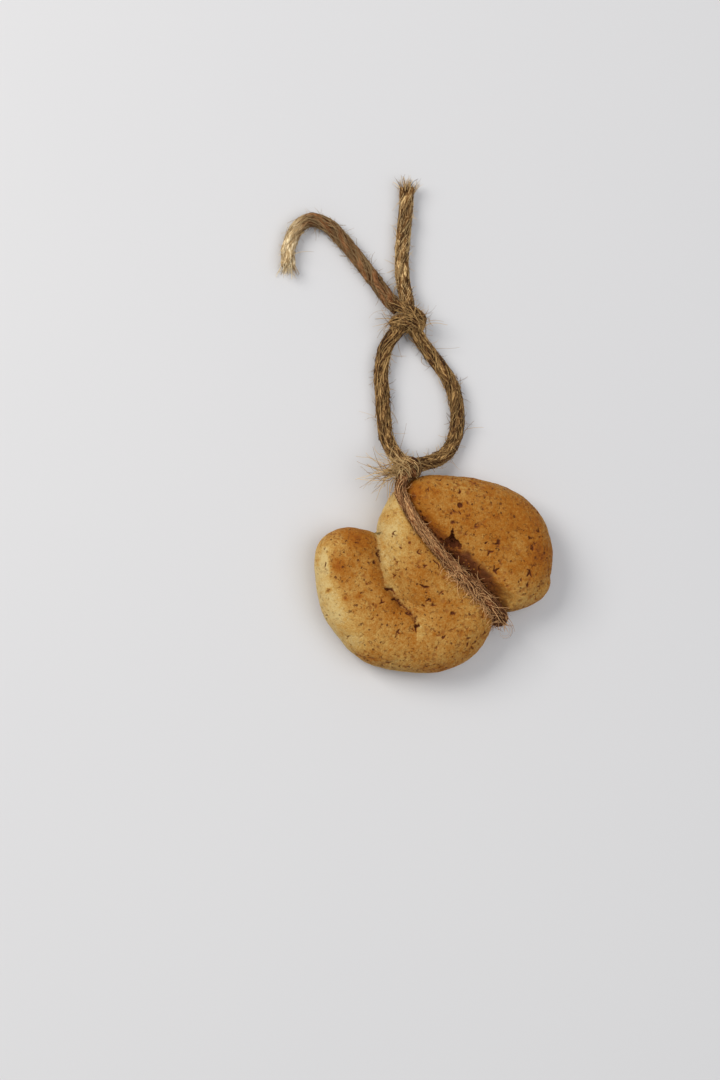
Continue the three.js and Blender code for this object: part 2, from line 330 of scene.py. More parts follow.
def crease_distance(x, y):
    """Nearest point of the crease, the distance to it, and whether the point is on its right."""
    away = np.hypot(x[..., None] - CREASE_LINE[:, 0], y[..., None] - CREASE_LINE[:, 1])
    nearest = away.argmin(-1)
    heading = np.gradient(CREASE_LINE[:, :2], axis=0)[nearest]
    side = heading[..., 0] * (y - CREASE_LINE[nearest, 1]) - heading[..., 1] * (x - CREASE_LINE[nearest, 0])
    return nearest, away.min(-1), side > 0


def shown_height(x, y):
    """Height of the plain crust over the base, on the shown side."""
    left, middle, right = (stroke_height(discs, x, y) for discs in STROKES)
    crown = smooth_max(smooth_max(left, middle, FOLD_BLEND), right, FOLD_BLEND)
    nearest, away, on_right = crease_distance(x, y)
    half = np.where(on_right, VALLEY_RIGHT, VALLEY_LEFT)
    valley = CREASE_LINE[nearest, 2] + VALLEY_RISE * (away / half) ** 2
    return np.maximum(WIDEST_HEIGHT, smooth_min(crown, valley, VALLEY_BLEND))


def base_height(x, y):
    """Height of the biscuit's under side: flat in the middle, rounding up to the widest line."""
    out = np.clip((reach(x, y) - BASE_INSET) / (1 - BASE_INSET), 0, 1)
    return WIDEST_HEIGHT * (1 - np.sqrt(1 - out**2))


def outline_radii(angles):
    """Distance from the middle to the outline in each direction."""
    steps = np.arange(BEYOND_OUTLINE, WELL_INSIDE, -OUTLINE_STRIDE)
    x = steps * np.cos(angles)[:, None]
    y = steps * np.sin(angles)[:, None]
    inside = steps[(reach(x, y) < 1).argmax(1)]
    outside = inside + OUTLINE_STRIDE
    for _ in range(OUTLINE_HALVINGS):
        middle = (inside + outside) / 2
        out = reach(middle * np.cos(angles), middle * np.sin(angles)) > 1
        outside = np.where(out, middle, outside)
        inside = np.where(out, inside, middle)
    return inside


def place_in_frame():
    """The move from the biscuit's own middle to the frame, read off the CAD biscuit's box."""
    low, high = (np.array(corner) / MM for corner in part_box("cookie"))
    angles = np.linspace(0, 2 * math.pi, 96, endpoint=False)
    radii = outline_radii(angles)
    x = radii * np.cos(angles)
    y = radii * np.sin(angles)
    return np.array([(low[0] + high[0] - x.min() - x.max()) / 2, low[1] - y.min(), 0.0])


SHIFT = place_in_frame()


def in_frame(points):
    """Millimetres from the biscuit's middle to metres in the frame."""
    return (np.asarray(points, float) + SHIFT) * MM


def placed(name, data):
    """A new object in the scene."""
    made = bpy.data.objects.new(name, data)
    bpy.context.scene.collection.objects.link(made)
    return made


# ------------------------------------------------------------------ camera

VIEW_SIDE = (-0.87, -0.5)     # the way the camera leans out from straight above, in plan
VIEW_LEAN = math.radians(13)
VIEW_DISTANCE = 0.75
SENSOR_WIDTH = 36
VIEW_HEIGHT = 0.281           # of the whole view, at the biscuit's widest line
AIM_ACROSS = -18.9            # of the view's middle from the biscuit's, in the view's plane
AIM_UP = 8.6


def make_camera():
    side = Vector((*VIEW_SIDE, 0)).normalized()
    towards = side * math.sin(VIEW_LEAN) + Vector((0, 0, math.cos(VIEW_LEAN)))
    right = Vector((0, 1, 0)).cross(towards).normalized()
    upwards = towards.cross(right)
    middle = Vector(in_frame([0, 0, WIDEST_HEIGHT]))
    aim = middle + right * AIM_ACROSS * MM + upwards * AIM_UP * MM
    camera_data = bpy.data.cameras.new("camera")
    camera_data.sensor_width = SENSOR_WIDTH
    camera_data.lens = SENSOR_WIDTH * VIEW_DISTANCE / VIEW_HEIGHT
    camera_data.clip_start = 0.01
    camera = placed("camera", camera_data)
    turned = Matrix((right, upwards, towards)).transposed().to_4x4()
    camera.matrix_world = Matrix.Translation(aim + towards * VIEW_DISTANCE) @ turned
    bpy.context.scene.camera = camera


make_camera()
bpy.context.scene.view_settings.view_transform = "Standard"  # colours come out as they were mixed

# ------------------------------------------------------------------ pieces from arrays


class Surface:
    """Points, faces and per-point values that are joined before they become one mesh."""

    def __init__(self):
        self.points = []
        self.faces = []
        self.values = {}
        self.count = 0

    def add(self, points, faces, **values):
        self.points.append(points)
        self.faces.extend((np.asarray(group) + self.count).tolist() for group in faces if len(group))
        for name, value in values.items():
            self.values.setdefault(name, []).append(value)
        self.count += len(points)

    def piece(self, name, material, slot):
        mesh = bpy.data.meshes.new(name)
        points = in_frame(np.vstack(self.points))
        mesh.from_pydata(points.tolist(), [], [face for group in self.faces for face in group])
        for value_name, parts in self.values.items():
            value = np.concatenate(parts)
            kind, field = ("FLOAT_VECTOR", "vector") if value.ndim == 2 else ("FLOAT", "value")
            attribute = mesh.attributes.new(value_name, kind, "POINT")
            attribute.data.foreach_set(field, value.astype(np.float32).ravel())
        mesh.shade_smooth()
        mesh.materials.append(material)
        piece = placed(name, mesh)
        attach(piece, BODY)
        return piece


def tube_faces(rings, sides):
    """Quads along a tube of rings, and a fan over a middle point at each end."""
    ring = np.arange(sides)
    turn = (ring + 1) % sides
    start = np.arange(rings - 1)[:, None] * sides
    quads = np.stack([start + ring, start + turn, start + sides + turn, start + sides + ring], axis=-1)
    first, last = rings * sides, rings * sides + 1
    end = (rings - 1) * sides
    near = np.stack([np.full(sides, first), turn, ring], axis=-1)
    far = np.stack([np.full(sides, last), end + ring, end + turn], axis=-1)
    return quads.reshape(-1, 4), np.vstack([near, far])


# ------------------------------------------------------------------ shading helpers


def colour(red, green, blue):
    """A colour given as it looks on a screen, 0 to 255, as a linear one."""
    shares = [value / 255 for value in (red, green, blue)]
    return (*(s / 12.92 if s <= 0.04045 else ((s + 0.055) / 1.055) ** 2.4 for s in shares), 1.0)


class Nodes:
    """Short ways to add and join the nodes of one tree."""

    def __init__(self, tree):
        self.tree = tree

    def add(self, kind, inputs=(), **settings):
        node = self.tree.nodes.new(kind)
        for name, value in settings.items():
            setattr(node, name, value)
        for name, value in dict(inputs).items():
            self.feed(node.inputs[name], value)
        return node

    def feed(self, socket, value):
        if isinstance(value, bpy.types.NodeSocket):
            self.tree.links.new(value, socket)
        else:
            socket.default_value = value

    def attribute(self, name, output="Fac"):
        return self.add("ShaderNodeAttribute", attribute_name=name).outputs[output]

    def place(self):
        return self.add("ShaderNodeTexCoord").outputs["Object"]

    def noise(self, where, scale, detail=3.0, roughness=0.55):
        inputs = {"Vector": where, "Scale": scale, "Detail": detail, "Roughness": roughness}
        return self.add("ShaderNodeTexNoise", inputs).outputs["Fac"]

    def cells(self, where, scale, feature="F1", output="Distance"):
        node = self.add("ShaderNodeTexVoronoi", {"Vector": where, "Scale": scale}, feature=feature)
        return node.outputs[output]

    def scaled(self, vector, factor):
        node = self.add("ShaderNodeVectorMath", {"Vector": vector, "Scale": factor}, operation="SCALE")
        return node.outputs["Vector"]

    def ramp(self, share, *stops):
        node = self.add("ShaderNodeValToRGB", {"Fac": share})
        band = node.color_ramp
        while len(band.elements) < len(stops):
            band.elements.new(0.5)
        for element, (position, value) in zip(band.elements, stops):
            element.position = position
            element.color = value if hasattr(value, "__len__") else (value, value, value, 1)
        return node.outputs["Color"]

    def maths(self, operation, *values):
        node = self.add("ShaderNodeMath", operation=operation)
        for socket, value in zip(node.inputs, values):
            self.feed(socket, value)
        return node.outputs["Value"]

    def times(self, first, second):
        return self.maths("MULTIPLY", first, second)

    def plus(self, first, second):
        return self.maths("ADD", first, second)

    def swing(self, value, size):
        """A value from 0 to 1 made to swing by this size about 0."""
        return self.maths("MULTIPLY_ADD", value, size, -size / 2)

    def patches(self, where, scale, detail, low, high):
        """Soft patches: 0 where the noise is below low, and 1 where it is above high."""
        return self.ramp(self.noise(where, scale, detail=detail), (low, 0), (high, 1))

    def mix(self, share, first, second, blend="MIX"):
        node = self.add("ShaderNodeMix", data_type="RGBA", blend_type=blend)
        for name, value in ((0, share), (6, first), (7, second)):
            self.feed(node.inputs[name], value)
        return node.outputs[2]

    def bump(self, height, distance, strength):
        inputs = {"Height": height, "Distance": distance, "Strength": strength}
        return self.add("ShaderNodeBump", inputs).outputs["Normal"]


COLOUR_SOCKET = "NodeSocketColor"
NUMBER_SOCKET = "NodeSocketFloat"
OUTPUTS = {"Colour": COLOUR_SOCKET, "Dullness": NUMBER_SOCKET, "Height": NUMBER_SOCKET}


def effect(name, inputs, kind, build):
    """A look as a node group with inputs of one kind, whose OUTPUTS build(nodes, inputs) returns."""
    group = bpy.data.node_groups.new(name, "ShaderNodeTree")
    for socket in inputs:
        group.interface.new_socket(socket, in_out="INPUT", socket_type=kind)
    for socket, output_kind in OUTPUTS.items():
        group.interface.new_socket(socket, in_out="OUTPUT", socket_type=output_kind)
    nodes = Nodes(group)
    given = nodes.add("NodeGroupInput").outputs
    put_out = nodes.add("NodeGroupOutput").inputs
    for socket, value in build(nodes, given).items():
        nodes.feed(put_out[socket], value)
    return group


def by_effect(nodes, group, inputs, distance, strength):
    """What a Principled shader is fed by an effect, with its height as a bump so many metres high."""
    look = nodes.add("ShaderNodeGroup", inputs, node_tree=group).outputs
    return {
        "Base Color": look["Colour"],
        "Roughness": look["Dullness"],
        "Specular IOR Level": 0.2,
        "Normal": nodes.bump(look["Height"], distance, strength),
    }


def material(name, build):
    """A new material whose Principled shader is fed by what build(nodes) returns."""
    made = bpy.data.materials.new(name)
    made.use_nodes = True
    nodes = Nodes(made.node_tree)
    shader = made.node_tree.nodes["Principled BSDF"]
    for socket, value in build(nodes).items():
        nodes.feed(shader.inputs[socket], value)
    return made


# ------------------------------------------------------------------ jute

SHADED = colour(168, 134, 112)  # the tint of the more brown, mauve stretches of the twine: partly its own tone, partly painted shade
JUTE_BUMP = (0.0002, 0.7)       # height and strength


def twisted_jute(nodes, given):
    """Streaks that run along the fibres, and painted shade between the plies."""
    lie = nodes.attribute("lie", "Vector")
    streaks = nodes.noise(lie, 1.0, detail=5.0, roughness=0.7)
    broad = nodes.noise(nodes.place(), 160.0, detail=2.0)
    share = nodes.plus(nodes.times(streaks, 0.75), nodes.times(broad, 0.3))
    darker = nodes.mix(nodes.ramp(share, (0.45, 0), (0.53, 1)), given["Dark"], given["Middle"])
    shown = nodes.mix(nodes.ramp(share, (0.55, 0), (0.63, 1)), darker, given["Light"])
    # Painted shade on each ply's side that faces into the twine.
    crevice = nodes.ramp(nodes.attribute("crevice"), (0.35, 0), (0.85, 0.9))
    shown = nodes.mix(crevice, shown, given["Dark"])
    # The shade attribute tints the twine brown and mauve: partly its own tone, partly painted shade.
    shaded = nodes.mix(1.0, shown, SHADED, blend="MULTIPLY")
    return {
        "Colour": nodes.mix(nodes.attribute("shade"), shown, shaded),
        "Dullness": nodes.ramp(streaks, (0.3, 0.95), (0.7, 0.72)),
        "Height": streaks,
    }


TWISTED_JUTE = effect("twisted_jute", ("Dark", "Middle", "Light"), COLOUR_SOCKET, twisted_jute)


def jute(name, dark, middle, light):
    """Twine whose streaks are of three tones."""
    tones = {"Dark": dark, "Middle": middle, "Light": light}
    return material(name, lambda nodes: by_effect(nodes, TWISTED_JUTE, tones, *JUTE_BUMP))


def jute_fibre(name, dark, middle, light):
    """Single fibres, each of its own tint."""

    def build(nodes):
        tint = nodes.attribute("tint")
        return {
            "Base Color": nodes.ramp(tint, (0.0, dark), (0.35, middle), (0.85, light)),
            "Roughness": nodes.ramp(tint, (0.0, 0.85), (1.0, 0.6)),
            "Specular IOR Level": 0.25,
        }

    return material(name, build)


# The dark, middle and light tones of each look
JUTE_LOOKS = {
    "pale": (colour(116, 86, 52), colour(196, 166, 120), colour(250, 232, 192)),
    "light": (colour(60, 34, 15), colour(128, 90, 47), colour(232, 198, 140)),
    "middle": (colour(42, 22, 9), colour(98, 64, 29), colour(208, 168, 108)),
    "groove": (colour(58, 27, 13), colour(139, 88, 48), colour(230, 182, 126)),
}
JUTE = {look: jute(f"jute_{look}", *tones) for look, tones in JUTE_LOOKS.items()}
FIBRE = {look: jute_fibre(f"jute_fibre_{look}", *tones) for look, tones in JUTE_LOOKS.items()}

# ------------------------------------------------------------------ twine

OPENING_LENGTH = 3.0  # of a cut end, over which its plies part
OPENING = 0.35        # share by which they part
PLY_FILLS = 1.03      # how far out a ply's surface reaches, as a share of the twine's radius
# Ridges along each ply: how many go round it, the length of one turn of them, and their height
PLY_RIDGES = [(4, 4.1, 0.1), (7, 2.3, 0.06)]
PLY_ROUGHNESS = 0.018
# Where the streaks of colour are looked up: drawn out along the twine, wound round each ply, plies apart
LIE_ALONG = 0.55
LIE_AROUND = 2.4
LIE_TWIST = 0.5
LIE_APART = 9
ROPE_CLEAR = 0.03     # between the floor and a twine that lies on it


def add_rope(surface, line, radius, rng, pitch=PLY_PITCH, tight=0.5, open_end=0.0):
    """Three plies twisted along a line, opening at an end that is cut; the tighter, the plainer each ply.

    The radius is one number, or one for each point of the line."""
    radius = np.broadcast_to(radius, len(line))[:, None]
    _, sides, ups = carried_frames(line)
    along = lengths_along(line)[:, None]
    opening = 1 + open_end * np.exp(-(((along[-1] - along) / OPENING_LENGTH) ** 2))
    around = np.linspace(0, 2 * math.pi, PLY_SIDES, endpoint=False)
    for ply in range(PLIES):
        turn = 2 * math.pi * (along / pitch + ply / PLIES) + 0.25 * soft_noise(rng, along, 9.0)
        outward = np.cos(turn) * sides + np.sin(turn) * ups
        axis = line + outward * radius * tight * opening
        heading = unit(np.gradient(axis, axis=0))
        outward = unit(outward - heading * (outward * heading).sum(1, keepdims=True))
        crosswise = np.cross(heading, outward)
        uneven = 1 + 0.07 * soft_noise(rng, along, 6.0)
        thick = radius * (PLY_FILLS - tight) * uneven * (1.25 - 0.25 * opening)
        ridges = np.ones((len(line), PLY_SIDES))
        for count, length, height in PLY_RIDGES:
            ridges += height * np.cos(count * around + 2 * math.pi * along / length + rng.uniform(0, 6))
        ridges += rng.normal(0, PLY_ROUGHNESS, ridges.shape)
        ring = outward[:, None] * np.cos(around)[:, None] + crosswise[:, None] * np.sin(around)[:, None]
        points = (axis[:, None] + ring * (thick * ridges)[..., None]).reshape(-1, 3)
        points = np.vstack([points, axis[0], axis[-1]])
        points[:, 2] = np.maximum(points[:, 2], ROPE_CLEAR)
        wound = around + along * LIE_TWIST
        lie = np.stack(
            [
                np.broadcast_to(along * LIE_ALONG, ridges.shape),
                LIE_AROUND * np.cos(wound) + LIE_APART * ply,
                LIE_AROUND * np.sin(wound),
            ],
            axis=-1,
        ).reshape(-1, 3)
        # Painted shade on the side of each ply that faces in, between the plies.
        crevice = np.broadcast_to(0.5 - 0.5 * np.cos(around), ridges.shape).ravel()
        surface.add(
            points,
            tube_faces(len(line), PLY_SIDES),
            lie=np.vstack([lie, lie[:1], lie[-1:]]),
            crevice=np.append(crevice, [0.6, 0.6]),
        )


EXTRA_DARKEST = 0.35  # none of the hairs placed for one piece alone is darker than this
FIBRE_STEPS = 9
FIBRE_SIDES = 3
FIBRE_CLEAR = 0.1     # between the floor and a fibre's middle
TIP_THINNESS = 0.35   # of a fibre's tip, as a share of its root
COARSE_RADII = (0.09, 0.14)
FINE_RADII = (0.045, 0.08)
LAID_LENGTHS = (4.0, 12.0)
TIP_LIFT = 0.3        # off the twine, on average
ROOT_LIFT = 0.12
TUFT_LENGTHS = (1.5, 4.0)
TUFT_FAN = 0.45
LONG_HAIRS = 0.3      # how many start on a millimetre, where nothing else is said
FIBRE_SHADE = 0.8     # how much darker the fibres get where the twine is tinted, by its own tone and by painted shade


def add_fibres(surface, curves, radii, rng, darkest=0.0):
    """A thin closed tube along each curve, thinner to its tip; darkest is the least tint any has."""
    count, steps, _ = curves.shape
    curves = curves.copy()
    curves[..., 2] = np.maximum(curves[..., 2], FIBRE_CLEAR)
    heading = unit(np.gradient(curves, axis=1))
    first = unit(np.cross(heading, rng.normal(size=(count, 1, 3))))
    second = np.cross(heading, first)
    around = np.linspace(0, 2 * math.pi, FIBRE_SIDES, endpoint=False)[:, None]
    taper = np.linspace(1, TIP_THINNESS, steps)[:, None, None] * radii[:, None, None, None]
    ring = first[:, :, None] * np.cos(around) + second[:, :, None] * np.sin(around)
    rings = curves[:, :, None] + ring * taper
    points = np.concatenate([rings.reshape(count, -1, 3), curves[:, :1], curves[:, -1:]], axis=1)
    per_fibre = points.shape[1]
    starts = np.arange(count)[:, None, None] * per_fibre
    faces = [(group + starts).reshape(-1, group.shape[1]) for group in tube_faces(steps, FIBRE_SIDES)]
    surface.add(points.reshape(-1, 3), faces, tint=np.repeat(rng.uniform(darkest, 1, count), per_fibre))


def laid_fibres(line, radius, rng, count):
    """Fibres that run along the twine's surface and lift off it at their tips."""
    _, sides, ups = carried_frames(line)
    along = lengths_along(line)
    length = rng.uniform(*LAID_LENGTHS, (count, 1))
    start = rng.uniform(0, 1, (count, 1)) * np.maximum(along[-1] - length, 0)
    share = np.linspace(0, 1, FIBRE_STEPS)
    places = np.interp(start + length * share, along, np.arange(len(line))).round().astype(int)
    turn = rng.uniform(0, 2 * math.pi, (count, 1)) + rng.normal(0.12, 0.16, (count, 1)) * length * share
    tip_lift = rng.exponential(TIP_LIFT, (count, 1)) * share**6
    root_lift = rng.exponential(ROOT_LIFT, (count, 1)) * (1 - share) ** 6
    laid_at = np.broadcast_to(radius, len(line))[places] * rng.uniform(0.9, 1.03, (count, 1))
    height = laid_at + (tip_lift + root_lift)
    outward = np.cos(turn)[..., None] * sides[places] + np.sin(turn)[..., None] * ups[places]
    return line[places] + outward * height[..., None]


def loose_fibres(line, radius, rng, count, length=(1.2, 4.5), lean=(0.25, 1.2), curl=0.9):
    """Stray hairs that leave the twine's surface and curl away."""
    tangents, sides, ups = carried_frames(line)
    at = rng.integers(0, len(line), count)
    turn = rng.uniform(0, 2 * math.pi, (count, 1))
    outward = np.cos(turn) * sides[at] + np.sin(turn) * ups[at]
    heading = tangents[at] * rng.choice([-1.0, 1.0], (count, 1))
    leaning = rng.uniform(*lean, (count, 1))
    way = unit(heading * np.cos(leaning) + outward * np.sin(leaning) + rng.normal(0, 0.2, (count, 3)))
    height = 0.9 * np.broadcast_to(radius, len(line))[at][:, None]
    return grown(line[at] + outward * height, way, rng, length, curl)


def grown(starts, way, rng, length, curl):
    """Curling lines that start off in the given directions."""
    count = len(starts)
    step = rng.uniform(*length, (count, 1)) / (FIBRE_STEPS - 1)
    bend = np.cross(way, unit(rng.normal(size=(count, 3)))) * rng.uniform(0, curl, (count, 1))
    curves = [starts]
    for _ in range(FIBRE_STEPS - 1):
        curves.append(curves[-1] + way * step)
        way = unit(way + bend * step + rng.normal(0, 0.1, (count, 3)) * step)
    return np.stack(curves, axis=1)


def tuft(line, radius, rng, count):
    """Fibres that fan out of the cut at the line's end."""
    tangents, sides, ups = carried_frames(line)
    across = rng.normal(0, 0.5, (count, 2)).clip(-1, 1) * radius
    starts = line[-1] - tangents[-1] * rng.uniform(0, 1.5, (count, 1))
    starts = starts + across[:, :1] * sides[-1] + across[:, 1:] * ups[-1]
    fan = TUFT_FAN / radius * (across[:, :1] * sides[-1] + across[:, 1:] * ups[-1])
    way = unit(tangents[-1] + fan + rng.normal(0, 0.22, (count, 3)))
    return grown(starts, way, rng, TUFT_LENGTHS, 0.25)


def fibre_radii(rng, count, coarse_share=0.35):
    """Mostly fine fibres, with some coarse ones among them."""
    coarse = rng.uniform(size=count) < coarse_share
    return np.where(coarse, rng.uniform(*COARSE_RADII, count), rng.uniform(*FINE_RADII, count))


def add_fuzz(surface, line, radius, rng, laid, loose, long):
    """Laid fibres, short loose hairs and a few long ones, each with its coarse share and darkest tint."""
    for curves, coarse_share, darkest in (
        (laid_fibres(line, radius, rng, laid), 0.35, 0.0),
        (loose_fibres(line, radius, rng, loose, length=(0.8, 3.2), curl=1.1), 0.0, 0.3),
        (loose_fibres(line, radius, rng, long, length=(3.0, 8.0), curl=0.7), 0.2, 0.4),
    ):
        if len(curves):
            add_fibres(surface, curves, fibre_radii(rng, len(curves), coarse_share), rng, darkest)


def add_extra(surface, extra, rng):
    """Hairs placed for one piece alone: groups of them, each with the share that is coarse."""
    for curves, coarse_share in extra:
        add_fibres(surface, curves, fibre_radii(rng, len(curves), coarse_share), rng, EXTRA_DARKEST)


def shade_by(surface, shade):
    """Notes how brown and shaded each point of a rope is, by its own tone and by painted shade, and darkens
    its fibres as much.
    """
    shades = [np.zeros(len(points)) if shade is None else shade(points) for points in surface.points]
    if "tint" in surface.values:
        tints = surface.values["tint"]
        surface.values["tint"] = [tint * (1 - FIBRE_SHADE * dim) for tint, dim in zip(tints, shades)]
    else:
        surface.values["shade"] = shades


def twine(name, line, look, seed, laid=9.0, loose=4.0, long=LONG_HAIRS, cut=None, tight=0.47,
          radius=TWINE_RADIUS, pitch=PLY_PITCH, shade=None, extra=()):
    """A length of twine; laid, loose and long are how many such fibres start on a millimetre.

    cut is how many fibres fan out of its end."""
    rng = np.random.default_rng(seed)
    rope = Surface()
    add_rope(rope, line, radius, rng, pitch, tight, 0.0 if cut is None else OPENING)
    hairs = Surface()
    length = lengths_along(line)[-1]
    counts = (round(share * length) for share in (laid, loose, long))
    add_fuzz(hairs, line, radius, rng, *counts)
    if cut is not None:
        curves = tuft(line, radius, rng, cut)
        add_fibres(hairs, curves, fibre_radii(rng, cut), rng)
    shade_by(rope, shade)
    shade_by(hairs, shade)
    add_extra(hairs, extra, rng)
    slot = "jute_twine"
    return rope.piece(name, JUTE[look], slot), hairs.piece(f"{name}_fibres", FIBRE[look], slot)


def into(line, knot):
    """The line carried on towards a knot's middle from whichever end is nearer to it."""
    centre = np.array(knot["centre"])
    at_start = np.linalg.norm(line[0] - centre) < np.linalg.norm(line[-1] - centre)
    end = line[0] if at_start else line[-1]
    inside = end + unit(centre - end) * INTO_KNOT
    return np.vstack([inside, line]) if at_start else np.vstack([line, inside])


def route(rows, *knots):
    """A strand's line, carried on into the knots that hold it."""
    line = smooth_curve([[x, y, *(height or [FLOOR_RUN_HEIGHT])] for x, y, *height in rows])
    for knot in knots:
        line = into(line, knot)
    return evenly(line, PLY_STEP)


def make_strand(name, rows, knots, look, seed, far_end, with_pieces=(), **options):
    """A free length of twine, put in place of its CAD part."""
    line = route(rows, *knots)
    rope, hairs = twine(name, line, look, seed, **options)
    path = in_frame(line)
    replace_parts(rope, name.removesuffix("_twine"))
    float(lengths_along(path)[-1])


def strays(seed, start, way, spread, count, length, curl=0.35):
    """Hairs that leave one place about one way."""
    rng = np.random.default_rng(seed)
    starts = np.asarray(start, float) + rng.normal(0, 0.9, (count, 3))
    ways = unit(np.asarray(way, float) + rng.normal(0, spread, (count, 3)))
    return grown(starts, ways, rng, length, curl)


def hair_loops(centre, radii, turns):
    """Thin hairs that curl round in the open, each by its own radius."""
    share = np.linspace(0, 1, FIBRE_STEPS)[:, None]
    loops = []
    for radius, (first, last) in zip(radii, turns):
        turn = first + (last - first) * share
        loops.append(np.hstack([np.cos(turn), np.sin(turn), 0.3 * share]) * radius + centre)
    return np.array(loops)


def make_knot(name, knot, look, seed, hairs, shade=None, extra=()):
    """The turns of a knot, with laid and loose fibres: hairs of each on a millimetre."""
    rng = np.random.default_rng(seed)
    rope = Surface()
    fuzz = Surface()
    for rows in knot["routes"]:
        line = evenly(smooth_curve(rows), KNOT_STEP)
        length = lengths_along(line)[-1]
        count = round(hairs * length)
        add_rope(rope, line, knot["rope"], rng, pitch=KNOT_PITCH)
        add_fuzz(fuzz, line, knot["rope"], rng, count, count, round(LONG_HAIRS * length))
    add_extra(fuzz, extra, rng)
    shade_by(rope, shade)
    piece = rope.piece(f"{name}_twine", JUTE[look], "jute_twine")
    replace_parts(piece, name)
    return piece, fuzz.piece(f"{name}_fibres", FIBRE[look], "jute_twine")


def wrap_line():
    """The line of the wrap: down the crease, round the far edge and back under the biscuit."""
    face = [[x, y, floor + TWINE_BED] for x, y, floor in CREASE[1:-1]]
    base = [[x, y, BASE_RUN_HEIGHT] for x, y, _ in reversed(CREASE[2:-1])]
    rows = [*WRAP_START, *face, *WRAP_EDGE, *base, *WRAP_END]
    line = smooth_curve(rows)
    return evenly(np.vstack([LOWER_KNOT["centre"], line, LOWER_KNOT["centre"]]), PLY_STEP)


WRAP_LINE = wrap_line()

# The twine is pulled thin where it leaves the knot and swells towards the biscuit's far edge.
WRAP_RADII = TWINE_RADIUS * (WRAP_THIN + (WRAP_THICK - WRAP_THIN) * soft_step(8.0, -10.0, WRAP_LINE[:, 1]))
FRAYED_ABOVE = 6      # the height over which its hairs are frayed
FRAYED_TO = -12.5     # where they stop, as it turns down over the edge
FRAYED_TIPS = -15.5   # and the furthest their tips reach
RIGHT_OF_WRAP = (0.66, 0.75)  # the way across it, to its right


def frayed(seed, count, length, lean, curl, furthest=2.0):
    """Hairs rubbed off the wrap towards the biscuit's far edge, most of them on its lower left."""
    rng = np.random.default_rng(seed)
    _, y, z = WRAP_LINE.T
    rubbed = (z > FRAYED_ABOVE) & (y < furthest) & (y > FRAYED_TO)
    hairs = loose_fibres(WRAP_LINE[rubbed], WRAP_RADII[rubbed], rng, count, length, lean, curl)
    to_right = (hairs[:, FIBRE_STEPS // 2, :2] - hairs[:, 0, :2]) @ RIGHT_OF_WRAP
    hairs = hairs[to_right < rng.exponential(0.25, count) - 0.05]
    hairs = hairs[hairs[:, -1, 1] > FRAYED_TIPS]
    lying = shown_height(hairs[..., 0], hairs[..., 1]) + rng.uniform(0.25, 0.6, (len(hairs), 1))
    on_biscuit = reach(hairs[..., 0], hairs[..., 1]) < 0.97
    hairs[..., 2] = np.where(on_biscuit, np.maximum(hairs[..., 2], lying), hairs[..., 2])
    return hairs


# Hairs, and the share of them that is coarse
FRAYED = [
    (frayed(36, 620, (1.4, 4.6), (0.1, 0.8), 1.3), 0.9),
    (frayed(37, 150, (3.0, 6.5), (0.2, 0.8), 0.9), 1.0),
    (frayed(39, 130, (1.5, 4.0), (0.15, 0.8), 0.9, furthest=16.0), 0.6),
]
KNOT_STRAYS = [
    (strays(31, [-10.2, 25.6, 8.6], (-1.0, -0.3, 0.02), 0.4, 60, (4.0, 13.0), curl=0.6), 0.8),
    (strays(32, [-9.8, 28.0, 8.0], (-0.8, 0.5, 0.0), 0.5, 24, (4.0, 11.0), curl=0.6), 0.7),
    (strays(33, [-9.6, 25.0, 9.4], (-0.6, -0.8, 0.1), 0.5, 30, (2.0, 5.0), curl=1.2), 0.5),
    (strays(38, [-9.4, 27.0, 10.0], (-0.5, 0.0, 0.3), 0.9, 130, (2.0, 5.0), curl=1.8), 0.4),
]
KNOT_CURLS = [
    (strays(34, [-9.8, 66.0, 4.6], (-0.9, -0.5, 0.0), 0.6, 26, (2.5, 7.0), curl=1.3), 0.5),
    (strays(35, [-2.6, 67.2, 4.6], (0.9, 0.1, 0.0), 0.6, 12, (2.0, 5.0), curl=1.0), 0.4),
    (strays(40, [-6.4, 67.4, 6.0], (-0.2, -0.2, 0.3), 1.0, 90, (2.0, 5.0), curl=1.8), 0.5),
]
HAIR_LOOPS = hair_loops([19.4, -14.6, 4.2], (1.9, 1.5, 2.2), ((2.2, -2.4), (1.6, -3.1), (0.9, -1.9)))


def brown_and_shaded(axis, start, stop, most):
    """How much twine is tinted brown and mauve, by its own tone and by painted shade: 0 up to start, where
    its own look holds, and the most beyond stop.
    """
    return lambda points: most * soft_step(start, stop, points[:, axis])


# The lower knot's right side is painted shade; the curled end and the wrap's lower stretch are darker
# partly by their own tone and partly as painted shade.
CURLED_SHADE = brown_and_shaded(0, -38.5, -31.0, 1.0)
WRAP_SHADE = brown_and_shaded(1, 12.0, -8.0, 0.65)
KNOT_SHADE = brown_and_shaded(0, -7.9, -6.3, 1.0)

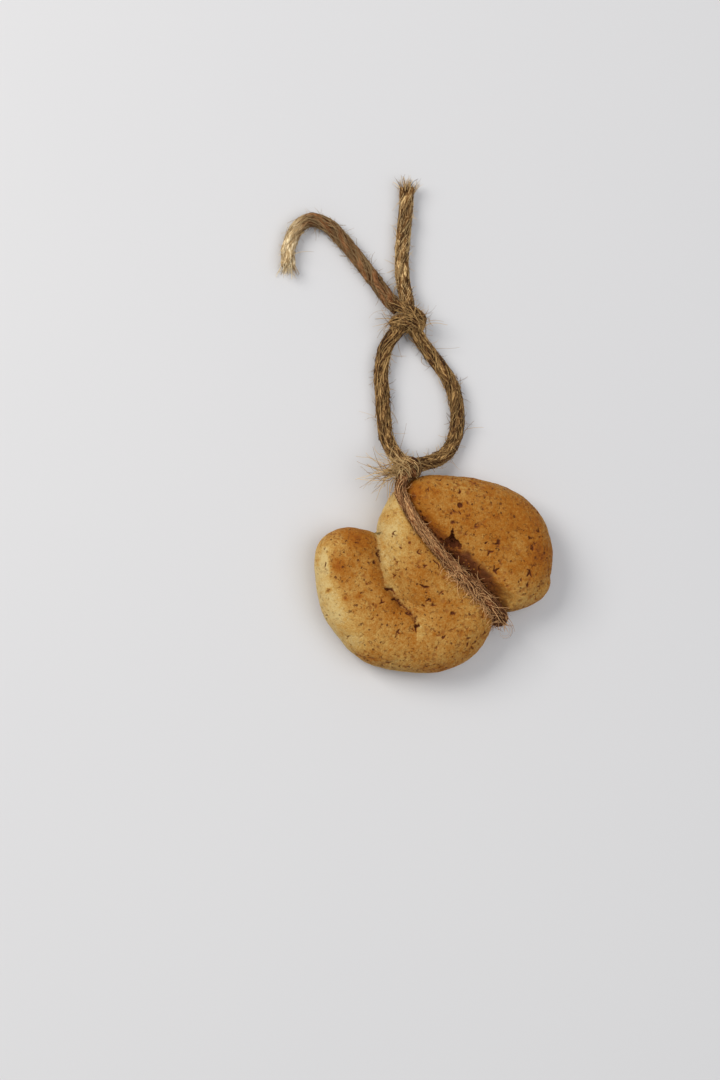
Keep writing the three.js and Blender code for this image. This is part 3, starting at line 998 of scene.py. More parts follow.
upper_knot, upper_hairs = make_knot("upper_knot", UPPER_KNOT, "middle", 21, hairs=9.0, extra=KNOT_CURLS)
make_strand("left_strand_twine", LEFT_STRAND, [LOWER_KNOT, UPPER_KNOT], "middle", 11, "knot",
            with_pieces=[upper_knot, upper_hairs])
make_strand("right_strand_twine", RIGHT_STRAND, [LOWER_KNOT, UPPER_KNOT], "middle", 12, "knot")
make_strand("curled_end_twine", CURLED_END, [UPPER_KNOT], "pale", 13, "bare", cut=90, shade=CURLED_SHADE)
make_strand("straight_end_twine", STRAIGHT_END, [UPPER_KNOT], "light", 14, "bare", cut=110)
make_knot("lower_knot", LOWER_KNOT, "light", 22, hairs=6.0, shade=KNOT_SHADE, extra=KNOT_STRAYS)
wrap, _ = twine(
    "twine_wrap_twine", WRAP_LINE, "groove", 15, laid=16.0, long=0.05, tight=0.42,
    radius=WRAP_RADII, pitch=WRAP_PITCH, shade=WRAP_SHADE, extra=[*FRAYED, (HAIR_LOOPS, 0.5)],
)
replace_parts(wrap, "twine_wrap")

# ------------------------------------------------------------------ biscuit's mesh

OUTLINE_ANGLES = np.linspace(0, 2 * math.pi, OUTLINE_STEPS, endpoint=False)
OUTLINE = outline_radii(OUTLINE_ANGLES)


def at_angles(radii, angles):
    """A line's distance from the middle in the given directions."""
    return np.interp(angles, OUTLINE_ANGLES, radii, period=2 * math.pi)


def find_inner_line():
    """A line inside the outline all round, and without its notches, that the inner rings follow."""
    width = round(OUTLINE_STEPS * INNER_SMOOTHING / 360)
    window = np.hanning(2 * width + 1)
    nearest = np.min([np.roll(OUTLINE, step) for step in range(-width, width + 1)], axis=0)
    padded = np.concatenate([nearest[-width:], nearest, nearest[:width]])
    return INNER_INSET * np.convolve(padded, window / window.sum(), "valid")


INNER_LINE = find_inner_line()


def spread(angles, share):
    """Distances from the middle: share 0 there, 1 on the inner line and 2 on the outline."""
    inner = at_angles(INNER_LINE, angles)
    return inner * np.minimum(share, 1) + (at_angles(OUTLINE, angles) - inner) * np.maximum(share - 1, 0)


def ring_shares(height, rings):
    """The share at which each ring crosses each ray, so that rings are evenly spaced over the surface."""
    rays = np.linspace(0, 2 * math.pi, RING_RAYS, endpoint=False)
    inside = round(rings * INNER_RINGS)
    tables = []
    for start, count in ((0, inside), (1, rings - inside)):
        share = start + 1 - (1 - np.linspace(0, 1, RAY_STEPS)) ** (1 + 2 * start)
        radius = spread(rays[:, None], share)
        z = height(radius * np.cos(rays)[:, None], radius * np.sin(rays)[:, None])
        steps = np.hypot(np.diff(radius), np.diff(z))
        along = np.concatenate([np.zeros((len(rays), 1)), np.cumsum(steps, axis=1)], axis=1)
        places = np.linspace(0, 1, count + 1)[start:]
        tables.append(np.array([np.interp(places * ray[-1], ray, share) for ray in along]))
    return rays, np.hstack(tables)


def ring_points(height, rings, counted):
    """The points of the counted rings over one side of the biscuit."""
    rays, shares = ring_shares(height, rings)
    found = []
    for ring in counted:
        count = RING_SPOKES * ring
        angles = np.arange(count) * 2 * math.pi / count
        radius = spread(angles, np.interp(angles, rays, shares[:, ring], period=2 * math.pi))
        x = radius * np.cos(angles)
        y = radius * np.sin(angles)
        z = np.full(count, WIDEST_HEIGHT) if ring == rings else height(x, y)
        found.append(np.stack([x, y, z], axis=1))
    return found


def between_rings(inner, inner_count, outer, outer_count):
    """Triangles between two rings, made by going round both at once."""
    inner_places = np.arange(1, inner_count + 1) / inner_count
    outer_places = np.arange(1, outer_count + 1) / outer_count
    places = np.concatenate([inner_places, outer_places])
    on_inner = places.argsort(kind="stable") < inner_count
    i = np.cumsum(on_inner) - on_inner
    j = np.cumsum(~on_inner) - ~on_inner
    apart = np.where(on_inner, inner + (i + 1) % inner_count, outer + (j + 1) % outer_count)
    return np.stack([inner + i % inner_count, outer + j % outer_count, apart], axis=1)


BASE_RUN = smooth_curve([[x, y] for x, y, _ in (*reversed(WRAP_END[:2]), *CREASE[2:])])


def channelled_base(x, y):
    """The base, hollowed along the run of the twine under it."""
    away = np.hypot(x[..., None] - BASE_RUN[:, 0], y[..., None] - BASE_RUN[:, 1]).min(-1)
    channel = BASE_CHANNEL_HEIGHT + np.sqrt(np.maximum(BASE_CHANNEL_RADIUS**2 - away**2, 0))
    channel = np.where(away < BASE_CHANNEL_RADIUS, channel, 0)
    return np.minimum(smooth_max(base_height(x, y), channel, BASE_CHANNEL_BLEND), WIDEST_HEIGHT)


def biscuit_grid():
    """Points and triangles of the whole biscuit: the shown side, then the base under it."""
    shown = ring_points(shown_height, SHOWN_RINGS, range(1, SHOWN_RINGS + 1))
    base = ring_points(channelled_base, BASE_RINGS, range(BASE_RINGS - 1, 0, -1))
    rings = [*shown, *base]
    middle = np.zeros(1)
    top = [0, 0, shown_height(middle, middle)[0]]
    bottom = [0, 0, channelled_base(middle, middle)[0]]
    points = np.vstack([[top], *rings, [bottom]])
    starts = np.cumsum([1, *(len(ring) for ring in rings)])
    triangles = []
    for place in range(len(rings) - 1):
        outward = place < SHOWN_RINGS - 1
        first, second = (place, place + 1) if outward else (place + 1, place)
        made = between_rings(starts[first], len(rings[first]), starts[second], len(rings[second]))
        triangles.append(made if outward else made[:, ::-1])
    spokes = np.arange(RING_SPOKES)
    turn = (spokes + 1) % RING_SPOKES
    last = len(points) - 1
    under = starts[-2]
    triangles.append(np.stack([np.zeros_like(spokes), 1 + spokes, 1 + turn], axis=1))
    triangles.append(np.stack([np.full_like(spokes, last), under + turn, under + spokes], axis=1))
    return points, np.vstack(triangles)


def point_normals(points, triangles):
    first, second, third = (points[triangles[:, k]] for k in range(3))
    facing = np.cross(second - first, third - first)
    normals = np.zeros_like(points)
    for k in range(3):
        for axis in range(3):
            normals[:, axis] += np.bincount(triangles[:, k], facing[:, axis], len(points))
    return unit(normals)


def lumps(points, wavelength, octaves=2):
    """Soft random relief, the same at every run."""
    return np.array([noise.fractal(Vector(point) / wavelength, 1.0, 2.0, octaves) for point in points])


def nearest_on(line, points):
    """The line's nearest point to each point, as its place in the line, and the distance."""
    groups = np.array_split(points, max(1, len(points) // 4000))
    places = np.concatenate([((group[:, None] - line) ** 2).sum(-1).argmin(1) for group in groups])
    return places, np.linalg.norm(points - line[places], axis=1)


def tree_of(points):
    """A search tree of points."""
    tree = KDTree(len(points))
    for index, point in enumerate(points):
        tree.insert(point, index)
    tree.balance()
    return tree


def on_crust(rows, points):
    """[x, y, ...] rows with the height of the crust there put in as the third number."""
    rows = np.asarray(rows, float)
    shown = points[points[:, 2] > WIDEST_HEIGHT]
    tree = tree_of(shown * (1, 1, 0))
    height = [shown[tree.find((x, y, 0))[1], 2] for x, y in rows[:, :2]]
    return np.column_stack([rows[:, :2], height, rows[:, 2:]])


# Marks sunk into the crust. Each row is [x, y, radius, depth].
ROUND_PITS = [
    [5.3, 16.9, 0.75, 0.7],
    [-8.0, 6.8, 0.5, 0.3],
    [-24.5, -7.6, 0.45, 0.25],
    [-20.8, -7.2, 0.4, 0.2],
    [-16.2, -11.9, 0.3, 0.3],
    [-18.9, -3.9, 0.35, 0.35],
    [-16.6, 1.9, 0.55, 0.8],
    [3.5, 12.4, 0.45, 0.5],
    [3.0, 14.7, 0.5, 0.3],
    [8.1, 21.3, 0.35, 0.3],
    [11.9, 19.6, 0.3, 0.3],
]
CAVITY = [
    [2.7, 7.5, 1.1, 1.8],
    [3.4, 7.9, 1.1, 2.0],
    [3.5, 6.6, 1.2, 1.8],
    [4.6, 7.1, 0.9, 1.8],
    [5.4, 6.4, 0.7, 1.4],
    [2.2, 6.6, 1.0, 1.2],
    [3.5, 9.0, 0.6, 1.4],
    [3.4, 9.9, 0.45, 1.0],
    [3.5, 10.6, 0.3, 0.5],
    [3.2, 12.3, 0.5, 0.35],
    [5.5, 5.7, 0.35, 0.5],
]
# Cracks that fork. Each row is [x, y, size, radius, depth].
FORKED_CRACKS = [
    [-4.4, -4.6, 1.88, 0.24, 0.66],
    [12.0, 6.9, 1.25, 0.21, 0.5],
    [15.2, 7.1, 1.25, 0.24, 0.55],
    [10.5, 0.5, 1.38, 0.2, 0.44],
    [14.5, -0.1, 1.5, 0.24, 0.55],
    [24.0, -0.3, 1.62, 0.24, 0.5],
    [24.1, 8.6, 1.12, 0.22, 0.5],
    [26.7, 10.6, 1.25, 0.21, 0.44],
    [24.8, 6.1, 1.0, 0.22, 0.44],
    [-0.9, 1.8, 1.38, 0.24, 0.61],
    [-3.4, 5.0, 1.12, 0.2, 0.44],
    [-3.1, -7.7, 1.12, 0.21, 0.44],
    [2.8, -11.2, 1.25, 0.21, 0.44],
    [-3.9, -9.4, 1.0, 0.2, 0.39],
    [-11.0, -16.0, 1.5, 0.2, 0.39],
    [-15.0, -8.6, 1.12, 0.2, 0.39],
    [13.2, 4.9, 1.38, 0.2, 0.39],
    [23.5, -3.3, 1.12, 0.2, 0.39],
]
# The torn crease between the left stroke and the middle one: [x, y, depth]
TORN_CREASE = [
    [-15.2, 10.8, 0.3],
    [-15.4, 7.6, 0.5],
    [-15.4, 4.9, 0.8],
    [-15.0, 2.2, 0.7],
    [-14.4, -1.0, 0.5],
    [-13.9, -4.0, 0.6],
    [-12.3, -5.4, 0.8],
    [-11.0, -7.2, 0.9],
    [-9.7, -9.1, 0.8],
    [-8.2, -10.2, 0.6],
    [-6.9, -11.7, 0.5],
    [-6.2, -13.4, 0.5],
    [-5.9, -14.8, 0.5],
    [-6.0, -16.6, 0.0],
]
TORN_SLOPE = 1.7      # width over which the crust falls to the tear from the left
TORN_LIP = 0.5        # and over which it rises again on the right
# Dark tears that lie along it. Each is a radius, a depth and the [x, y] points of its line.
TEARS = [
    (0.3, 0.8, [[-15.4, 5.1], [-15.8, 4.3], [-15.6, 3.9]]),
    (0.2, 0.6, [[-15.6, 3.9], [-15.2, 3.0], [-14.9, 2.0]]),
    (0.28, 0.4, [[-17.0, 1.9], [-17.2, 1.6]]),
    (0.28, 0.9, [[-14.0, -5.0], [-13.2, -5.1]]),
    (0.2, 0.7, [[-13.2, -5.1], [-12.2, -5.2], [-11.8, -5.6]]),
    (0.16, 0.4, [[-11.8, -5.6], [-11.2, -6.6]]),
    (0.22, 0.8, [[-12.2, -7.7], [-11.5, -7.4], [-10.6, -7.9], [-9.8, -9.1]]),
    (0.2, 0.5, [[-9.2, -9.5], [-8.6, -9.8], [-8.1, -10.4], [-7.0, -11.6]]),
    (0.3, 0.5, [[-8.4, -11.2], [-7.6, -11.4]]),
    (0.16, 0.4, [[-6.4, -12.4], [-6.2, -13.6]]),
    (0.42, 1.0, [[-6.2, -14.4], [-5.7, -14.5]]),
    (0.2, 0.4, [[-6.2, -15.0], [-6.3, -15.9]]),
]
# Where the crust has more or fewer small marks than elsewhere: [x, y, radius, change]
MARKED_SPOTS = [
    [-12.5, 14.0, 6.0, -0.9],
    [22.0, 3.0, 9.0, 0.9],
    [6.0, 18.0, 7.0, 0.4],
    [0.0, -6.0, 6.0, 0.4],
    [-28.0, -8.0, 7.0, -0.7],
    [-20.0, -18.0, 6.0, -0.5],
    [-27.0, 5.0, 4.0, -0.4],
    [0.0, -21.0, 9.0, 0.3],
]
MARK_STEP = 0.12      # between the points of a crack
CREVICE_OFFSET = 2.1  # of the tears beside the twine from the crease
CREVICE_FROM = 14.0
CREVICE_TO = -10.0
# Small marks scattered over the crust: how many, and the ranges that each one's sizes are drawn from
SMALL_CRACKS = 190
SMALL_CRACK = {"size": (0.5, 1.5), "radius": (0.15, 0.21), "depth": (0.12, 0.38)}
SMALL_PITS = 300
PIT_RADII = (0.16, 0.34)
PIT_DEPTHS = (0.4, 1.0)  # as a share of its radius
SOFT_DENTS = 330
SOFT_DENT = {"radius": (0.26, 0.5), "depth": (0.07, 0.15), "size": (0.2, 0.8)}
LEAST_MARKED = 0.05   # how often marks come where they are rarest, and where they are most common
MOST_MARKED = 2
FULLY_DEEP = 0.4      # the depth at which a mark's painted shade is at its darkest


def forked(rng, centre, normal, size, radius, depth):
    """Points of a crack with up to three jagged arms, in the plane of the crust."""
    across = unit(np.cross(normal, rng.normal(size=3)))
    along = np.cross(normal, across)
    arms = rng.choice([1, 2, 3], p=[0.2, 0.25, 0.55])
    first = rng.uniform(0, 2 * math.pi)
    rows = []
    for arm in range(arms):
        turn = first + arm * 2 * math.pi / arms + rng.normal(0, 0.4)
        place = np.array(centre, float)
        steps = max(2, round(size * rng.uniform(0.5, 1.0) / MARK_STEP))
        for step in range(steps):
            turn += rng.normal(0, 0.35)
            place = place + MARK_STEP * (math.cos(turn) * across + math.sin(turn) * along)
            thin = 1.25 - 0.5 * step / steps
            rows.append([*place, radius * thin, depth * thin])
    return np.array(rows)


def scattered(rng, places, likely, count, ranges, points, normals):
    """Forked marks at some of the places, each with sizes drawn from the ranges, in their order."""
    for at in rng.choice(places, count, p=likely):
        sizes = {part: rng.uniform(*limits) for part, limits in ranges.items()}
        yield forked(rng, points[at], normals[at], **sizes)


def crevice_marks(rng):
    """[x, y, radius, depth] of the ragged tears that show beside the twine, on its right."""
    line = evenly(CREASE_LINE[:, :2], MARK_STEP, axes=2)
    heading = unit(np.gradient(line, axis=0))
    along = lengths_along(line)
    beside = CREVICE_OFFSET + 0.25 * soft_noise(rng, along, 5.0) + rng.normal(0, 0.06, len(line))
    size = 0.2 + 0.2 * soft_noise(rng, along, 3.2)
    places = line + beside[:, None] * np.stack([-heading[:, 1], heading[:, 0]], axis=1)
    rows = np.column_stack([places, size, 2.2 * size])
    return rows[(size > 0.14) & (line[:, 1] < CREVICE_FROM) & (line[:, 1] > CREVICE_TO)]


def sunk_marks(points, normals):
    """[x, y, z, radius, depth] of every pit and crack."""
    rng = np.random.default_rng(5)
    upright = np.array([0.0, 0.0, 1.0])
    drawn = [ROUND_PITS, CAVITY]
    for x, y, size, radius, depth in FORKED_CRACKS:
        drawn.append(forked(rng, (x, y, 0), upright, size, radius, depth)[:, [0, 1, 3, 4]])
    for radius, depth, line in TEARS:
        torn = evenly(line, MARK_STEP, axes=2)
        torn += rng.normal(0, 0.06, torn.shape)
        ragged = rng.uniform(0.7, 1.2, (len(torn), 1))
        drawn.append(np.hstack([torn, radius * ragged, depth * ragged]))
    drawn.append(crevice_marks(rng))
    rows = [on_crust(np.vstack(drawn), points)]
    shown = np.flatnonzero((normals[:, 2] > -0.2) & (points[:, 2] > 2))
    weight = spotted(points[shown], 0.6, MARKED_SPOTS) + 0.8 * lumps(points[shown] + 40, 7.0)
    weight = weight.clip(LEAST_MARKED, MOST_MARKED) * point_share(points[shown])
    likely = weight / weight.sum()
    rows.extend(scattered(rng, shown, likely, SMALL_CRACKS, SMALL_CRACK, points, normals))
    at = rng.choice(shown, SMALL_PITS, p=likely)
    radius = rng.uniform(*PIT_RADII, (SMALL_PITS, 1))
    rows.append(np.hstack([points[at], radius, radius * rng.uniform(*PIT_DEPTHS, (SMALL_PITS, 1))]))
    rows.extend(scattered(rng, shown, likely, SOFT_DENTS, SOFT_DENT, points, normals))
    return np.vstack(rows)


def spotted(points, plain_value, spots):
    """A value over the crust that soft round spots, [x, y, radius, change], raise or lower."""
    value = np.full(len(points), plain_value)
    for x, y, radius, change in spots:
        value += change * np.exp(-((points[:, 0] - x) ** 2 + (points[:, 1] - y) ** 2) / radius**2)
    return value


def point_share(points):
    """How much surface each point of the grid stands for, about."""
    return 0.2 + np.hypot(points[:, 0], points[:, 1]) / 30


def sink(points, normals, rows):
    """Presses the marks into the crust and says how deep each point went."""
    tree = tree_of(points)
    depths = np.zeros(len(points))
    for x, y, z, radius, depth in rows:
        for _, index, distance in tree.find_range((x, y, z), radius * 1.05):
            bowl = math.sqrt(max(0.0, 1 - (distance / radius) ** 2))
            depths[index] = max(depths[index], depth * bowl)
    points -= normals * depths[:, None]
    return depths


def press_twine(points):
    """Moves the crust that the twine lies in to the inner side of the twine."""
    heading = unit((CREASE_LINE[-1] - CREASE_LINE[0]) * (1, 1, 0))
    flat = np.array([heading[1], -heading[0], 0.0])
    inward = unit(np.cross(np.gradient(WRAP_LINE, axis=0), flat))
    places, away = nearest_on(WRAP_LINE, points)
    inside = away < PRESSED * WRAP_RADII[places]
    places = places[inside]
    lateral = ((points[inside] - WRAP_LINE[places]) * flat).sum(1)
    depth = np.sqrt(np.maximum((PRESSED * WRAP_RADII[places]) ** 2 - lateral**2, 0))
    points[inside] = WRAP_LINE[places] + flat * lateral[:, None] + inward[places] * depth[:, None]


def press_knot(points):
    """Clears the crust from around the knot at the biscuit's edge."""
    offset = points - LOWER_KNOT["centre"]
    away = np.linalg.norm(offset, axis=1)
    inside = away < KNOT_ROOM
    points[inside] = LOWER_KNOT["centre"] + offset[inside] * (KNOT_ROOM / away[inside])[:, None]


# How the crust is baked, from 0, pale, by 0.5, golden, to 1, brown: [x, y, radius, change]. The pale spots
# along the left rim are partly painted light, and the right lobe's broad brown spot is partly painted
# shade.
BAKED_AND_LIT_SPOTS = [
    [-26.8, 0.8, 2.0, 0.36],
    [-25.0, -1.2, 2.4, 0.16],
    [-22.4, 1.2, 0.8, 0.2],
    [-20.9, 1.4, 0.7, 0.16],
    [-20.8, 7.4, 3.6, 0.38],
    [-29.4, 5.0, 0.9, -0.3],
    [-29.6, 3.2, 0.9, -0.38],
    [-29.6, 1.4, 0.9, -0.38],
    [-29.4, -0.4, 0.9, -0.34],
    [-30.8, 2.4, 0.5, 0.35],
    [-30.8, 1.2, 0.5, 0.35],
    [-24.5, -7.6, 1.0, 0.3],
    [-20.8, -7.2, 1.0, 0.25],
    [-28.6, -5.6, 0.7, 0.5],
    [-17.0, -1.0, 3.5, 0.12],
    [26.0, 4.0, 7.0, 0.2],
    [23.0, 13.0, 5.0, 0.12],
    [21.5, -6.5, 4.0, -0.14],
    [19.0, 13.0, 8.0, 0.12],
    [8.0, 15.0, 9.0, 0.1],
    [-12.0, 17.5, 4.5, -0.3],
    [-12.6, 10.0, 4.2, -0.32],
    [-12.2, 3.0, 3.6, -0.26],
    [-27.5, 5.5, 3.0, -0.2],
    [-30.5, 0.0, 3.2, -0.45],
    [-29.5, -6.0, 3.2, -0.42],
    [-27.0, -12.0, 4.0, -0.42],
    [-22.0, -18.5, 4.0, -0.3],
    [-10.0, -25.0, 4.0, -0.1],
]
BAKED = 0.47          # where no spot changes it
WALL_SHADE = 0.35  # painted shade on the wall that rises right of the twine
SIDE_PALENESS_AND_LIGHT = 0.2   # of the biscuit's low left side: its own paler crust, and painted light from the left
TEAR_SIDE_SHADE = 0.1   # painted shade left of the torn crease, where the crust slopes away from the light
LIP_LIGHT = -0.15  # painted light right of it, on the lip that faces the light
BASE_BAKED = 0.62     # the least of it under BASE_RIM
BASE_RIM = 1.5
WALL_WIDTH = (6.5, 2.0)   # away from the crease, from where the wall's painted shade starts to all of it
WALL_ALONG = (-9.0, -1.0)
SIDE_HEIGHTS = (8.5, 5.0)
SIDE_FROM = (6.0, -2.0)   # from the right to the left of the biscuit's middle
# The torn, crumbly strip right of the twine, dark partly as painted shade beside the twine: [y, how torn it
# is, how far from the crease it reaches]
CRUMB_AND_SHADE_STRIP = [
    [-14.5, 0.0, 1.8],
    [-11.5, 0.3, 2.2],
    [-8.5, 0.65, 2.9],
    [-5.0, 0.9, 3.9],
    [-1.0, 1.0, 5.0],
    [4.0, 1.0, 5.4],
    [7.5, 0.8, 4.2],
    [11.0, 0.5, 3.0],
    [17.0, 0.4, 2.3],
    [22.0, 0.2, 1.8],
]
STRIP_EDGE = 1.2      # softness of its edge
STRIP_RAGGED = 1.1    # and how far that edge wanders


def baked(points):
    """How brown each point of the crust is, with painted shade on the wall right of the twine and left of
    the torn crease, and painted light on the low left side and the torn crease's lip.
    """
    x, y, z = points.T
    share = spotted(points, BAKED, BAKED_AND_LIT_SPOTS) + 0.12 * lumps(points, 6.0)
    _, away, on_right = crease_distance(x, y)
    wall = soft_step(*WALL_WIDTH, away) * soft_step(*WALL_ALONG, y)
    share += WALL_SHADE * wall * on_right * (z > WIDEST_HEIGHT)
    share -= SIDE_PALENESS_AND_LIGHT * soft_step(*SIDE_HEIGHTS, z) * soft_step(*SIDE_FROM, x)
    away, on_right, _ = torn_crease(points)
    lip = LIP_LIGHT * soft_step(3.0, 1.0, away)
    tear = TEAR_SIDE_SHADE * soft_step(5.0, 1.0, away)
    share += np.where(on_right, lip, tear)
    return np.where(z < BASE_RIM, np.maximum(share, BASE_BAKED), share)


def crumbly(points):
    """How torn and crumbly each point is: right of the twine, where its dark colour is partly painted
    shade, and along the torn crease.
    """
    x, y, _ = points.T
    places, torn, width = np.transpose(CRUMB_AND_SHADE_STRIP)
    _, away, on_right = crease_distance(x, y)
    ragged = away + STRIP_RAGGED * lumps(points, 2.2) - np.interp(y, places, width)
    strip = np.interp(y, places, torn) * soft_step(STRIP_EDGE, -STRIP_EDGE, ragged) * on_right
    from_tear, _, depth = torn_crease(points)
    tear = 0.5 * depth * soft_step(1.2, 0.3, from_tear)
    return np.maximum(strip, tear) * (points[:, 2] > WIDEST_HEIGHT)


def torn_crease(points):
    """Distance from the torn crease, whether a point is on its right, and the crease's depth there."""
    line = evenly(TORN_CREASE, 0.2, axes=2)
    places, away = nearest_on(line[:, :2], points[:, :2])
    heading = np.gradient(line[:, :2], axis=0)[places]
    offset = points[:, :2] - line[places, :2]
    on_right = heading[:, 0] * offset[:, 1] - heading[:, 1] * offset[:, 0] > 0
    return away, on_right, line[places, 2]


# Soft unevenness of the crust: height and wavelength
UNEVENNESS = [(0.32, 11.0), (0.16, 4.2), (0.05, 1.3)]


def make_biscuit():
    """The crust with its relief, marks and baked colours; returns what the crumbs are placed by."""
    points, triangles = biscuit_grid()
    # torn is the torn crust, and right of the twine partly painted shade.
    torn = crumbly(points)
    browned = baked(points)
    normals = point_normals(points, triangles)
    relief = sum(height * lumps(points, wavelength) for height, wavelength in UNEVENNESS)
    relief += torn * 0.22 * lumps(points, 0.9)
    away, on_right, depth = torn_crease(points)
    shown = points[:, 2] > WIDEST_HEIGHT
    relief -= shown * depth * np.exp(-((away / np.where(on_right, TORN_LIP, TORN_SLOPE)) ** 2))
    points += normals * relief[:, None]
    normals = point_normals(points, triangles)
    marks = sunk_marks(points, normals)
    deep = sink(points, normals, marks)
    press_twine(points)
    press_knot(points)
    points[:, 2] = np.maximum(points[:, 2], 0.0)
    surface = Surface()
    surface.add(points, [triangles], baked=browned, torn=torn, deep=(deep / FULLY_DEEP).clip(0, 1))
    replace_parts(surface.piece("cookie_crust", CRUST, "baked_dough"), "cookie")
    return points, normals, torn


# ------------------------------------------------------------------ crust

PIN_HOLES = 600.0     # cells to a metre, more than half of them with a pin hole painted dark as its shade
FINE_HOLES = 800.0
FINE_CRACKS = 640.0
DOUGH_BUMP = (0.00042, 0.8)  # height and strength
# Tones of the crust, from the palest to the brownest
DOUGH_TONES = [
    (0.0, colour(204, 176, 116)),
    (0.25, colour(190, 148, 78)),
    (0.48, colour(171, 118, 49)),
    (0.65, colour(160, 98, 22)),
    (0.85, colour(146, 79, 8)),
    (1.0, colour(112, 56, 12)),
]
# What torn places are darkened with; right of the twine this is partly painted shade.
TORN_AND_SHADE_TONE = colour(84, 41, 17)
# Tones painted into the marks as the shade inside them: dents, fine cracks, pin holes and deep pits.
DENT_SHADE_TONE = colour(136, 76, 24)
FINE_CRACK_SHADE_TONE = colour(132, 74, 26)
PIN_HOLE_SHADE_TONE = colour(92, 44, 13)
PIT_SHADE_TONE = colour(90, 42, 14)


def baked_dough(nodes, given):
    """Golden crust, mottled, with fine short cracks and pin holes that are painted dark as the shade inside
    them.
    """
    place = nodes.place()
    broad = nodes.noise(place, 130.0, detail=3.0)
    mottle = nodes.noise(place, 1000.0, detail=6.0, roughness=0.7)
    grain = nodes.noise(place, 2700.0, detail=3.0, roughness=0.65)
    warp = nodes.add("ShaderNodeTexNoise", {"Vector": place, "Scale": 1200.0, "Detail": 3.0})
    moved = {0: nodes.scaled(warp.outputs["Color"], 0.0011), 1: place}
    warped = nodes.add("ShaderNodeVectorMath", moved, operation="ADD").outputs["Vector"]
    faint = nodes.ramp(given["Baked"], (0.1, 0.35), (0.45, 1))
    edge = nodes.cells(warped, FINE_CRACKS, feature="DISTANCE_TO_EDGE")
    sparse = nodes.patches(place, 900.0, 3.0, 0.55, 0.62)
    cracks = nodes.times(nodes.ramp(edge, (0.02, 1), (0.08, 0)), sparse)
    holes = nodes.ramp(nodes.cells(warped, FINE_HOLES), (0.1, 1), (0.2, 0))
    gathered = nodes.patches(place, 480.0, 2.0, 0.53, 0.6)
    sunk = nodes.times(nodes.maths("MAXIMUM", cracks, nodes.times(holes, gathered)), faint)
    some = nodes.ramp(nodes.cells(warped, PIN_HOLES, output="Color"), (0.4, 0), (0.44, 1))
    pins = nodes.times(nodes.ramp(nodes.cells(warped, PIN_HOLES), (0.12, 1), (0.2, 0)), some)
    pins = nodes.times(pins, faint)
    smudges = nodes.patches(place, 360.0, 3.0, 0.56, 0.7)
    share = nodes.plus(given["Baked"], nodes.swing(mottle, 0.75))
    share = nodes.plus(share, nodes.swing(grain, 0.6))
    share = nodes.plus(share, nodes.swing(broad, 0.35))
    share = nodes.maths("MULTIPLY_ADD", smudges, 0.15, share)
    shown = nodes.ramp(share, *DOUGH_TONES)
    # Torn places darken; right of the twine this is partly painted shade.
    shown = nodes.mix(nodes.times(given["Torn"], 0.92), shown, TORN_AND_SHADE_TONE)
    # Sunk marks are painted darker the deeper they go, as the shade inside them.
    dent_shade = nodes.times(nodes.ramp(given["Deep"], (0.1, 0), (0.5, 0.85)), faint)
    shown = nodes.mix(dent_shade, shown, DENT_SHADE_TONE)
    # Fine cracks and pin holes painted dark, as the shade inside them.
    shown = nodes.mix(nodes.times(sunk, 0.7), shown, FINE_CRACK_SHADE_TONE)
    shown = nodes.mix(nodes.times(pins, 0.85), shown, PIN_HOLE_SHADE_TONE)
    # Painted shade in the deepest marks.
    dark = nodes.ramp(nodes.maths("MULTIPLY_ADD", mottle, 0.5, given["Deep"]), (0.75, 0), (1.2, 1))
    height = nodes.maths("MULTIPLY_ADD", mottle, 0.6, nodes.times(grain, 0.55))
    depth = nodes.maths("MAXIMUM", nodes.times(sunk, 0.6), pins)
    return {
        "Colour": nodes.mix(nodes.times(dark, 0.9), shown, PIT_SHADE_TONE),
        "Dullness": nodes.ramp(mottle, (0.3, 0.62), (0.7, 0.85)),
        "Height": nodes.maths("SUBTRACT", height, depth),
    }


BAKED_DOUGH = effect("baked_dough", ("Baked", "Torn", "Deep"), NUMBER_SOCKET, baked_dough)


def crust(nodes):
    """Dough that is baked, torn and sunk as much as the points of its piece say."""
    noted = {name.title(): nodes.attribute(name) for name in ("baked", "torn", "deep")}
    return by_effect(nodes, BAKED_DOUGH, noted, *DOUGH_BUMP)


CRUST = material("crust", crust)

# ------------------------------------------------------------------ crumbs

CRUMBS = 70
CRUMB_SIZES = (0.07, 0.24)
CRUMB_BAKED = (0.4, 0.9)
CRUMB_TORN = (0, 0.4)


def crumb_form():
    """Points and triangles of a small round body."""
    form = bmesh.new()
    bmesh.ops.create_icosphere(form, subdivisions=2, radius=1.0)
    points = np.array([vertex.co for vertex in form.verts])
    triangles = np.array([[vertex.index for vertex in face.verts] for face in form.faces])
    form.free()
    return points, triangles


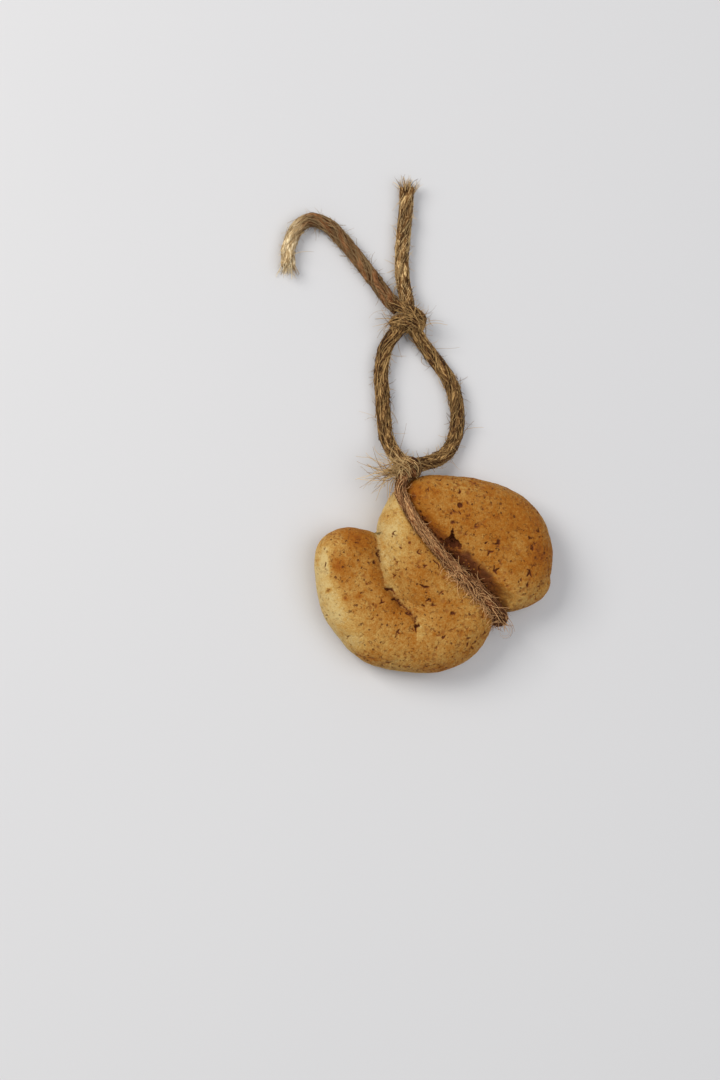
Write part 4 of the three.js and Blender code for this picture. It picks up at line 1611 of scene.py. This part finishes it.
def make_crumbs(crust_points, normals, torn):
    """Loose crumbs that lie in the torn places."""
    rng = np.random.default_rng(41)
    form, triangles = crumb_form()
    likely = (torn * (normals[:, 2] > 0.2) * (crust_points[:, 2] > 6)) ** 2
    surface = Surface()
    for at in rng.choice(len(crust_points), CRUMBS, p=likely / likely.sum()):
        size = rng.uniform(*CRUMB_SIZES) * rng.uniform(0.6, 1.2, 3)
        lumpy = 1 + 0.3 * lumps(form + rng.uniform(0, 50, 3), 0.8)
        centre = crust_points[at] + normals[at] * size.mean() * 0.5
        count = len(form)
        surface.add(
            form * lumpy[:, None] * size + centre,
            [triangles],
            baked=np.full(count, rng.uniform(*CRUMB_BAKED)),
            torn=np.full(count, rng.uniform(*CRUMB_TORN)),
            deep=np.zeros(count),
        )
    surface.piece("crumbs", CRUST, "baked_dough")


make_crumbs(*make_biscuit())

# ------------------------------------------------------------------ floor and light

FLOOR_HALF = 2.5
FLOOR_TONES = [(0.3, (0.66, 0.66, 0.68, 1)), (0.7, (0.68, 0.68, 0.695, 1))]
KEY_WAY = (-0.85, 0.42, 0.8)  # from the biscuit towards the key light
KEY_DISTANCE = 1.1
KEY_SIZE = 0.55
KEY_POWER = 8.6
KEY_TINT = (1.0, 0.97, 0.92)
FILL_WAY = (0.45, -0.1, 1.0)
FILL_DISTANCE = 1.4
FILL_SIZE = 1.2
FILL_POWER = 7.6
SKY_STRENGTH = 0.36
SKY_COLOUR = (0.96, 0.98, 1.0, 1)


def make_floor():
    mesh = bpy.data.meshes.new("floor")
    corners = [(-1, -1), (1, -1), (1, 1), (-1, 1)]
    mesh.from_pydata([(x * FLOOR_HALF, y * FLOOR_HALF, 0) for x, y in corners], [], [(0, 1, 2, 3)])
    mesh.materials.append(material("floor_paint", floor_paint))
    placed("floor", mesh)


def floor_paint(nodes):
    """Matte pale paint, very faintly cloudy."""
    cloud = nodes.noise(nodes.place(), 3.0)
    return {
        "Base Color": nodes.ramp(cloud, *FLOOR_TONES),
        "Roughness": 0.9,
    }


def area_light(name, way, distance, size, power, tint=(1, 1, 1)):
    data = bpy.data.lights.new(name, "AREA")
    data.energy = power
    data.size = size
    data.color = tint
    way = Vector(way).normalized()
    light = placed(name, data)
    light.location = way * distance
    light.rotation_euler = way.to_track_quat("Z", "Y").to_euler()


def make_light():
    area_light("window", KEY_WAY, KEY_DISTANCE, KEY_SIZE, KEY_POWER, KEY_TINT)
    area_light("ceiling", FILL_WAY, FILL_DISTANCE, FILL_SIZE, FILL_POWER)
    sky = bpy.data.worlds.new("sky")
    sky.use_nodes = True
    background = sky.node_tree.nodes["Background"].inputs
    background["Color"].default_value = SKY_COLOUR
    background["Strength"].default_value = SKY_STRENGTH
    bpy.context.scene.world = sky


make_floor()
make_light()
